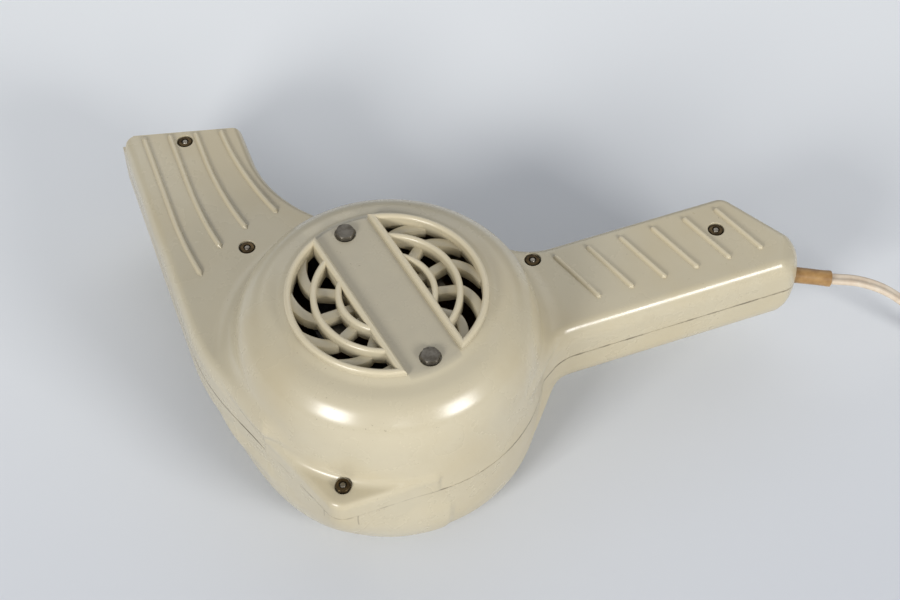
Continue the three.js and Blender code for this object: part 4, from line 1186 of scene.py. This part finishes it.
    def openings(self) -> list[bpy.types.Object]:
        """The cord's hole at the handle's tip and the slot for the switch, half in each shell."""
        hole_r, slot_half = 3.8, 2.3
        line = SLEEVE_ROOT + np.outer(np.linspace(-6, 20, 4), SLEEVE_AXIS)
        hole = new_mesh("cord_hole", *fixed_outside(*swept(line, round_section(hole_r, 28))))
        x = (self.drum + self.handle) / 2 - 18.5
        low = (x - 2.75, 20.9, self.seam - slot_half)
        return [hole, self.block("slot", low, (x + 10.75, 28.5, self.seam + slot_half))]

    def build_rear(self) -> bpy.types.Object:
        """The rear shell with its resting flat, scroll and screw recesses."""
        low, high = (-80, -68, -3.0), (190, 168, 46)
        shell = skin("rear_shell_moulding", lambda x, y, z: np.maximum(self.rear(x, y, z), z - 44.5),
                     low, high, self.pitch)
        inner = skin("inner", lambda x, y, z: np.maximum(self.rear(x, y, z) + self.wall, z - 45.2),
                     low, high, 2.0)
        cuts = [inner, self.slab("over", self.seam - self.gap / 2, 120), self.past_mouth(),
                self.slab("floor", -20, 0.0)]
        whole = shell.copy()
        whole.data = shell.data.copy()
        bpy.context.scene.collection.objects.link(whole)
        combine(shell, cuts, "DIFFERENCE")
        combine(shell, self.posts(False), "UNION")
        combine(shell, [whole], "INTERSECT")
        trims = []
        for s in self.screws:
            face = s.low if s.name != "lug" else 17.0
            trims.append(self.well(f"head_well_{s.name}", s.x, s.y, 3.4, s.low + 2.6, face, 0.4, True))
            trims.append(self.post(f"screw_hole_{s.name}", s.x, s.y, self.hole_r, 5, 60, 20))
        trims += self.openings()
        combine(shell, trims, "DIFFERENCE")
        shade(shell, 32)
        follow(shell, self.rear)
        return report(shell, Body.HOUSING, Finish.SHELL, "rear_shell")


# ------------------------------------------------------------------ fasteners
@dataclass
class Fasteners:
    """Motor bolts, and the housing's screws and nuts."""

    housing: Housing

    def build(self) -> None:
        """Make every fastener that can be seen from outside."""
        h = self.housing
        head_half, shank_r = 3.5, 1.95
        for letter, (x, y) in zip("ab", h.bolts()):
            head = hexagon(head_half, h.bar_z - 0.9, h.bar_z + 1.9, 0.45, 0, 0.35 + math.pi / 6)
            shank = turned([(0, 43), (1.6, 43), (shank_r, 43.5), (shank_r, 89.8), (0, 89.8)], (x, y), 24)
            body = joined([moved(head, x, y), fixed_outside(*shank)])
            bolt = new_mesh(f"motor_bolt_{letter}_finished", *body, 25)
            report(bolt, Body.HOUSING, Finish.STEEL, f"motor_bolt_{letter}")
        for s in h.screws:
            self.screw(s)

    def screw(self, s: Screw) -> None:
        """A slotted screw from the rear, and its nut with the screw's end standing in it."""
        end = s.top - s.sunk + 2.8
        t = np.linspace(0, math.pi / 2, 5)
        dome = [(2.0 + 0.8 * math.sin(a), s.low + 0.9 - 0.6 * math.cos(a)) for a in t]
        root, crest, pitch = 1.24, 1.45, 0.42
        ridges = []
        z = s.top - s.sunk - 1.0
        while z < end - 0.6:
            ridges += [(root, z), (crest, z + 0.2), (root, z + 0.4)]
            z += pitch
        profile = [(0, s.low + 0.3), *dome, (2.8, s.low + 2.2), (1.4, s.low + 2.3),
                   (1.4, s.top - s.sunk - 1.2), *ridges, (1.2, end - 0.5), (0.95, end - 0.12), (0, end)]
        screw = new_mesh(f"screw_{s.name}_finished", *fixed_outside(*turned(profile, (s.x, s.y), 28)), 28)
        low, high = (s.x - 4, s.y - 0.4, s.low - 1), (s.x + 4, s.y + 0.4, s.low + 1.1)
        slot = self.housing.block("slot", low, high)
        combine(screw, [slot], "DIFFERENCE")
        shade(screw, 28)
        report(screw, Body.HOUSING, Finish.BRIGHT, f"screw_{s.name}")
        base = s.top - s.sunk + 0.3
        body = hexagon(2.75, base, base + 2.3, 0.35, 1.6, 0.2 + math.pi / 6)
        nut = new_mesh(f"nut_{s.name}_finished", *moved(body, s.x, s.y), 25)
        report(nut, Body.HOUSING, Finish.BRASS, f"nut_{s.name}")


# ------------------------------------------------------------------ cord
@dataclass
class MainsCord:
    """The flat twin cord: out of its sleeve, down to the surface, round its coil and up to the plug."""

    length: float = 1.8
    wide: float = 5.4
    thick: float = 2.7
    coil_at: tuple[float, float] = (304.0, -62.0)
    turns: float = 8.02
    coil_in: float = 27.0
    coil_deep: float = 10.6
    plug_z: float = 14.5

    def outlet(self, d: float) -> Array:
        """A point so far out along the sleeve's axis."""
        return SLEEVE_ROOT + SLEEVE_AXIS * d

    def line(self) -> Array:
        """The cord's middle line.

        Its run and its tail pass through chosen points. The coil between them is a loop of turns, whose
        radius goes in, out and in again at an even rate while the cord climbs steadily.
        """
        run = [self.outlet(14), self.outlet(21.3), (204, -25, 37.6), (215, -30.5, 33), (226, -37, 23.4),
               (235.5, -43.4, 11.4), (243, -49.5, 4.4), (251.5, -56.5, 3.2), (262.6, -64.6, 3.0)]
        tail = [(345.4, -56, 8.6), (351, -47, 8.4), (353, -38, 10.4), (351.2, -32, 13.4), (350, -26.5, 14.5),
                (350, -19.5, 14.5)]
        t = np.linspace(0, self.turns * 2 * math.pi, 460)
        share = t / t[-1]
        swing = np.abs((share * 3) % 2 - 1)
        radius = self.coil_in + self.coil_deep * swing
        rise = 1.6 + 8.9 * np.clip(share * 1.02, 0, 1)
        start = math.pi + 0.08
        x = self.coil_at[0] + radius * np.cos(start + t)
        y = self.coil_at[1] + radius * np.sin(start + t)
        coil = np.stack([x, y, rise], 1)
        return np.concatenate([np.array(run), coil[6:-4], np.array(tail)])

    def build(self) -> None:
        path = smooth_line(self.line(), 1100)
        section, valley = self.section()
        points, faces = swept(path, section)
        cord = new_mesh("mains_cord", *fixed_outside(points, faces), 60)
        share = cord.data.attributes.new("valley", "FLOAT", "POINT")
        share.data.foreach_set("value", np.tile(valley, len(path)).astype(np.float32))
        report(cord, Body.HOUSING, Finish.CORD, "cord_run", "cord_coil", "cord_tail")
        sleeve = self.sleeve()
        plug = self.plug()
        pins = [self.pin(s) for s in (-1, 1)]
        run = np.linalg.norm(np.diff(path, axis=0), axis=1).sum() * MM
        log.info("cord line %.3f m", run)

    def section(self) -> tuple[Array, Array]:
        """Two round strands side by side with a valley between; the second result is 1 in the valley."""
        r = self.thick / 2
        t = np.linspace(-2.35, 2.35, 9)
        right = np.stack([r + r * np.cos(t), r * np.sin(t)], 1)
        left = -right
        points = np.concatenate([right, left])
        valley = np.clip(1 - np.abs(points[:, 0]) / (0.55 * r), 0, 1)
        return points, valley

    def sleeve(self) -> bpy.types.Object:
        """The tan sleeve: a tube with rolled ends, pinched a little where the cord leaves."""
        s = np.array([3.2, 3.4, 6, 11, 15, 18.0, 20.0, 20.8, 21.0, 20.9, 19.6, 19.0, 3.4, 3.2])
        r = np.array([3.1, 3.4, 3.45, 3.4, 3.35, 3.4, 3.5, 3.45, 3.2, 2.95, 2.95, 2.93, 2.85, 2.95])
        sides = 36
        t = np.arange(sides)[:, None] * 2 * math.pi / sides
        side = np.cross(SLEEVE_AXIS, [0, 0, 1])
        side /= np.linalg.norm(side)
        around = np.cos(t) * side + np.sin(t) * np.cross(side, SLEEVE_AXIS)
        rings = np.array([self.outlet(d) for d in s])[:, None] + r[:, None, None] * around
        body = fixed_outside(rings.reshape(-1, 3), grid_faces(len(s), sides, True, True).tolist())
        piece = new_mesh("cord_sleeve", *body, 40)
        return report(piece, Body.HOUSING, Finish.SLEEVE, "strain_relief")

    def at_plug(self, body: tuple[Array, list], aside: float = 0.0) -> tuple[Array, list]:
        """A body of revolution laid down along +Y at the plug's place."""
        laid = body[0] @ np.array([[1, 0, 0], [0, 0, -1], [0, 1, 0]])
        place = [self.coil_at[0] + 46 + aside, self.coil_at[1] + 40, self.plug_z]
        return fixed_outside(laid + place, body[1])

    def plug(self) -> bpy.types.Object:
        """The plug's moulding: a profile about its own axis, waisted for the fingers, with a flat face."""
        length = 38
        profile = [(3.4, 0), (4.0, 0.5), (4.6, 3), (5.6, 7), (8, 12), (11.6, 16.6), (13.4, 20), (14.1, 24),
                   (13.7, 26), (13.7, 27.4), (14.3, 28.6), (14.3, 36), (13.6, 37.4), (12.6, length)]
        fine = smooth_line(profile, 60)
        body = turned([(0, 0), *map(tuple, fine), (0, length)], sides=64)
        piece = new_mesh("plug_moulding", *self.at_plug(body), 35)
        return report(piece, Body.HOUSING, Finish.DARK, "plug_body")

    def pin(self, side: int) -> bpy.types.Object:
        """A round pin with a domed end."""
        r, root, shoulder, half_apart = 1.98, 30.6, 54.6, 9.5
        t = np.linspace(0, math.pi / 2, 7)[:-1]
        dome = [(r * math.cos(a), shoulder + r * math.sin(a)) for a in t]
        body = turned([(0, root), (r, root), *dome, (0, shoulder + r)], sides=28)
        node = f"plug_pin_{'ab'[side > 0]}"
        piece = new_mesh(f"{node}_finished", *self.at_plug(body, side * half_apart), 35)
        return report(piece, Body.HOUSING, Finish.PIN, node)


# ------------------------------------------------------------------ frame parts that stay
@dataclass
class Inside:
    """The frame's own nodes that stay in view, with their finishes."""

    finishes: dict[Finish, tuple[str, ...]] = field(default_factory=lambda: {
        Finish.STEEL: ("bracket_front", "bracket_rear", "fan_nut", "cord_clamp", "outlet_guard",
                       "clamp_screw_a", "clamp_screw_b"),
        Finish.BRIGHT: ("motor_shaft", "brush_spring_a", "brush_spring_b"),
        Finish.BRONZE: ("bearing_front", "bearing_rear"),
        Finish.IRON: ("stator_core", "armature_core"),
        Finish.COPPER: ("field_coil_a", "field_coil_b", "winding_front", "winding_rear", "commutator"),
        Finish.PHENOLIC: ("brush_holder_a", "brush_holder_b", "fan_inlet_ring", "switch_body",
                          "terminal_block"),
        Finish.CARBON: ("brush_a", "brush_b"),
        Finish.FAN: ("fan_impeller",),
        Finish.MICA: ("heater_board", "heater_liner"),
        Finish.WIRE: ("heater_coil",),
        Finish.LEAD: ("lead_switch", "lead_live", "lead_neutral"),
        Finish.PIN: ("terminal_screw_a", "terminal_screw_b"),
        Finish.DARK: ("switch_slider",),
    })

    def dress(self) -> None:
        """Give every node its finish."""
        for finish, names in self.finishes.items():
            for name in names:
                finish.give(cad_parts[name])


# ------------------------------------------------------------------ stage
@dataclass(frozen=True)
class Stage:
    """Floor, lights and camera."""

    place: tuple[float, float, float] = (-0.1282, -0.4133, 0.6412)
    ahead: tuple[float, float, float] = (0.2151, 0.5754, -0.7891)
    lens: float = 71.96

    def camera(self) -> None:
        """A camera that looks down on the dryer from in front, level across."""
        data = bpy.data.cameras.new("camera")
        data.lens = self.lens
        data.sensor_width = 36
        data.clip_start, data.clip_end = 0.01, 50
        camera = bpy.data.objects.new("camera", data)
        bpy.context.scene.collection.objects.link(camera)
        ahead = np.array(self.ahead) / np.linalg.norm(self.ahead)
        right = np.cross(ahead, [0, 0, 1])
        right /= np.linalg.norm(right)
        up = np.cross(right, ahead)
        turn = np.eye(4)
        turn[:3, 0], turn[:3, 1], turn[:3, 2], turn[:3, 3] = right, up, -ahead, self.place
        camera.matrix_world = Matrix(turn.tolist())
        bpy.context.scene.camera = camera

    def light(self, name: str, azimuth: float, elevation: float, away: float, size: tuple[float, float],
              power: float, colour: Colour, at: tuple[float, float, float] = (0.03, 0, 0.05)) -> None:
        """A soft panel that faces a point, the drum unless told otherwise.

        Args:
            name: The light's name.
            azimuth: Its side, in degrees to the right of the camera's own.
            elevation: Its height above the floor, in degrees.
            away: Its distance, in metres.
            size: Its width and height, in metres.
            power: Its power, in watts.
            colour: Its colour.
            at: The point it faces.
        """
        data = bpy.data.lights.new(name, "AREA")
        data.shape, data.size, data.size_y = "RECTANGLE", *size
        data.energy, data.color = power, colour
        lamp = bpy.data.objects.new(name, data)
        bpy.context.scene.collection.objects.link(lamp)
        front = math.atan2(-self.ahead[1], -self.ahead[0])
        a, e = front + math.radians(azimuth), math.radians(elevation)
        back = np.array([math.cos(a) * math.cos(e), math.sin(a) * math.cos(e), math.sin(e)])
        right = np.cross([0, 0, 1], back)
        right /= np.linalg.norm(right)
        turn = np.eye(4)
        turn[:3, 0], turn[:3, 1], turn[:3, 2] = right, np.cross(back, right), back
        turn[:3, 3] = back * away + at
        lamp.matrix_world = Matrix(turn.tolist())

    def build(self) -> None:
        """Floor with painted light, soft lights and a pale surrounding."""
        p = Paint("stage_floor")
        x, y, _ = p.axes()
        # Painted light on the floor: darker near the camera, brighter far away.
        far = (y + x * 0.25 + p.noise(3, 2) * 40.0).eased(-250.0, 420.0)
        p.set("Base Color", p.mixed(far, (0.57, 0.592, 0.63), (0.98, 1.0, 1.0)))
        p.set("Roughness", 0.85)
        p.set("Specular IOR Level", 0.15)
        half, below = 6.0, 0.02
        corners = np.array([(-half, -half, 0), (half, -half, 0), (half, half, 0), (-half, half, 0)])
        floor = new_mesh("stage_floor", corners / MM - [0, 0, below], [[0, 1, 2, 3]])
        floor.data.materials.append(p.material)
        self.light("key_left", -37, 26, 1.25, (0.36, 0.34), 8.9, (1.0, 0.99, 0.975))
        self.light("key_right", 47, 24, 1.25, (0.36, 0.34), 8.4, (1.0, 0.99, 0.975))
        self.light("middle", 8, 26, 1.5, (0.24, 0.2), 0.8, (1.0, 0.99, 0.97))
        self.light("over", 180, 54, 1.8, (1.5, 1.1), 2.2, (1.0, 0.985, 0.96))
        self.light("wash", 180, 74, 0.75, (2.0, 0.5), 2.9, (0.95, 0.97, 1.0), (0.30, 0.72, 0.0))
        world = bpy.data.worlds.new("surround")
        bpy.context.scene.world = world
        world.use_nodes = True
        back = world.node_tree.nodes["Background"]
        back.inputs["Color"].default_value = (0.86, 0.9, 1.0, 1)
        back.inputs["Strength"].default_value = 0.31
        bpy.context.scene.view_settings.view_transform = "Standard"


def main() -> None:
    """Build the classes in order."""
    logging.basicConfig(level=logging.INFO, format="%(message)s")
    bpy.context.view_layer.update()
    stage = Stage()
    stage.camera()
    MainsCord().build()
    housing = Housing()
    housing.build_front()
    housing.build_rear()
    Fasteners(housing).build()
    Inside().dress()
    stage.build()


if __name__ == "__main__":
    main()
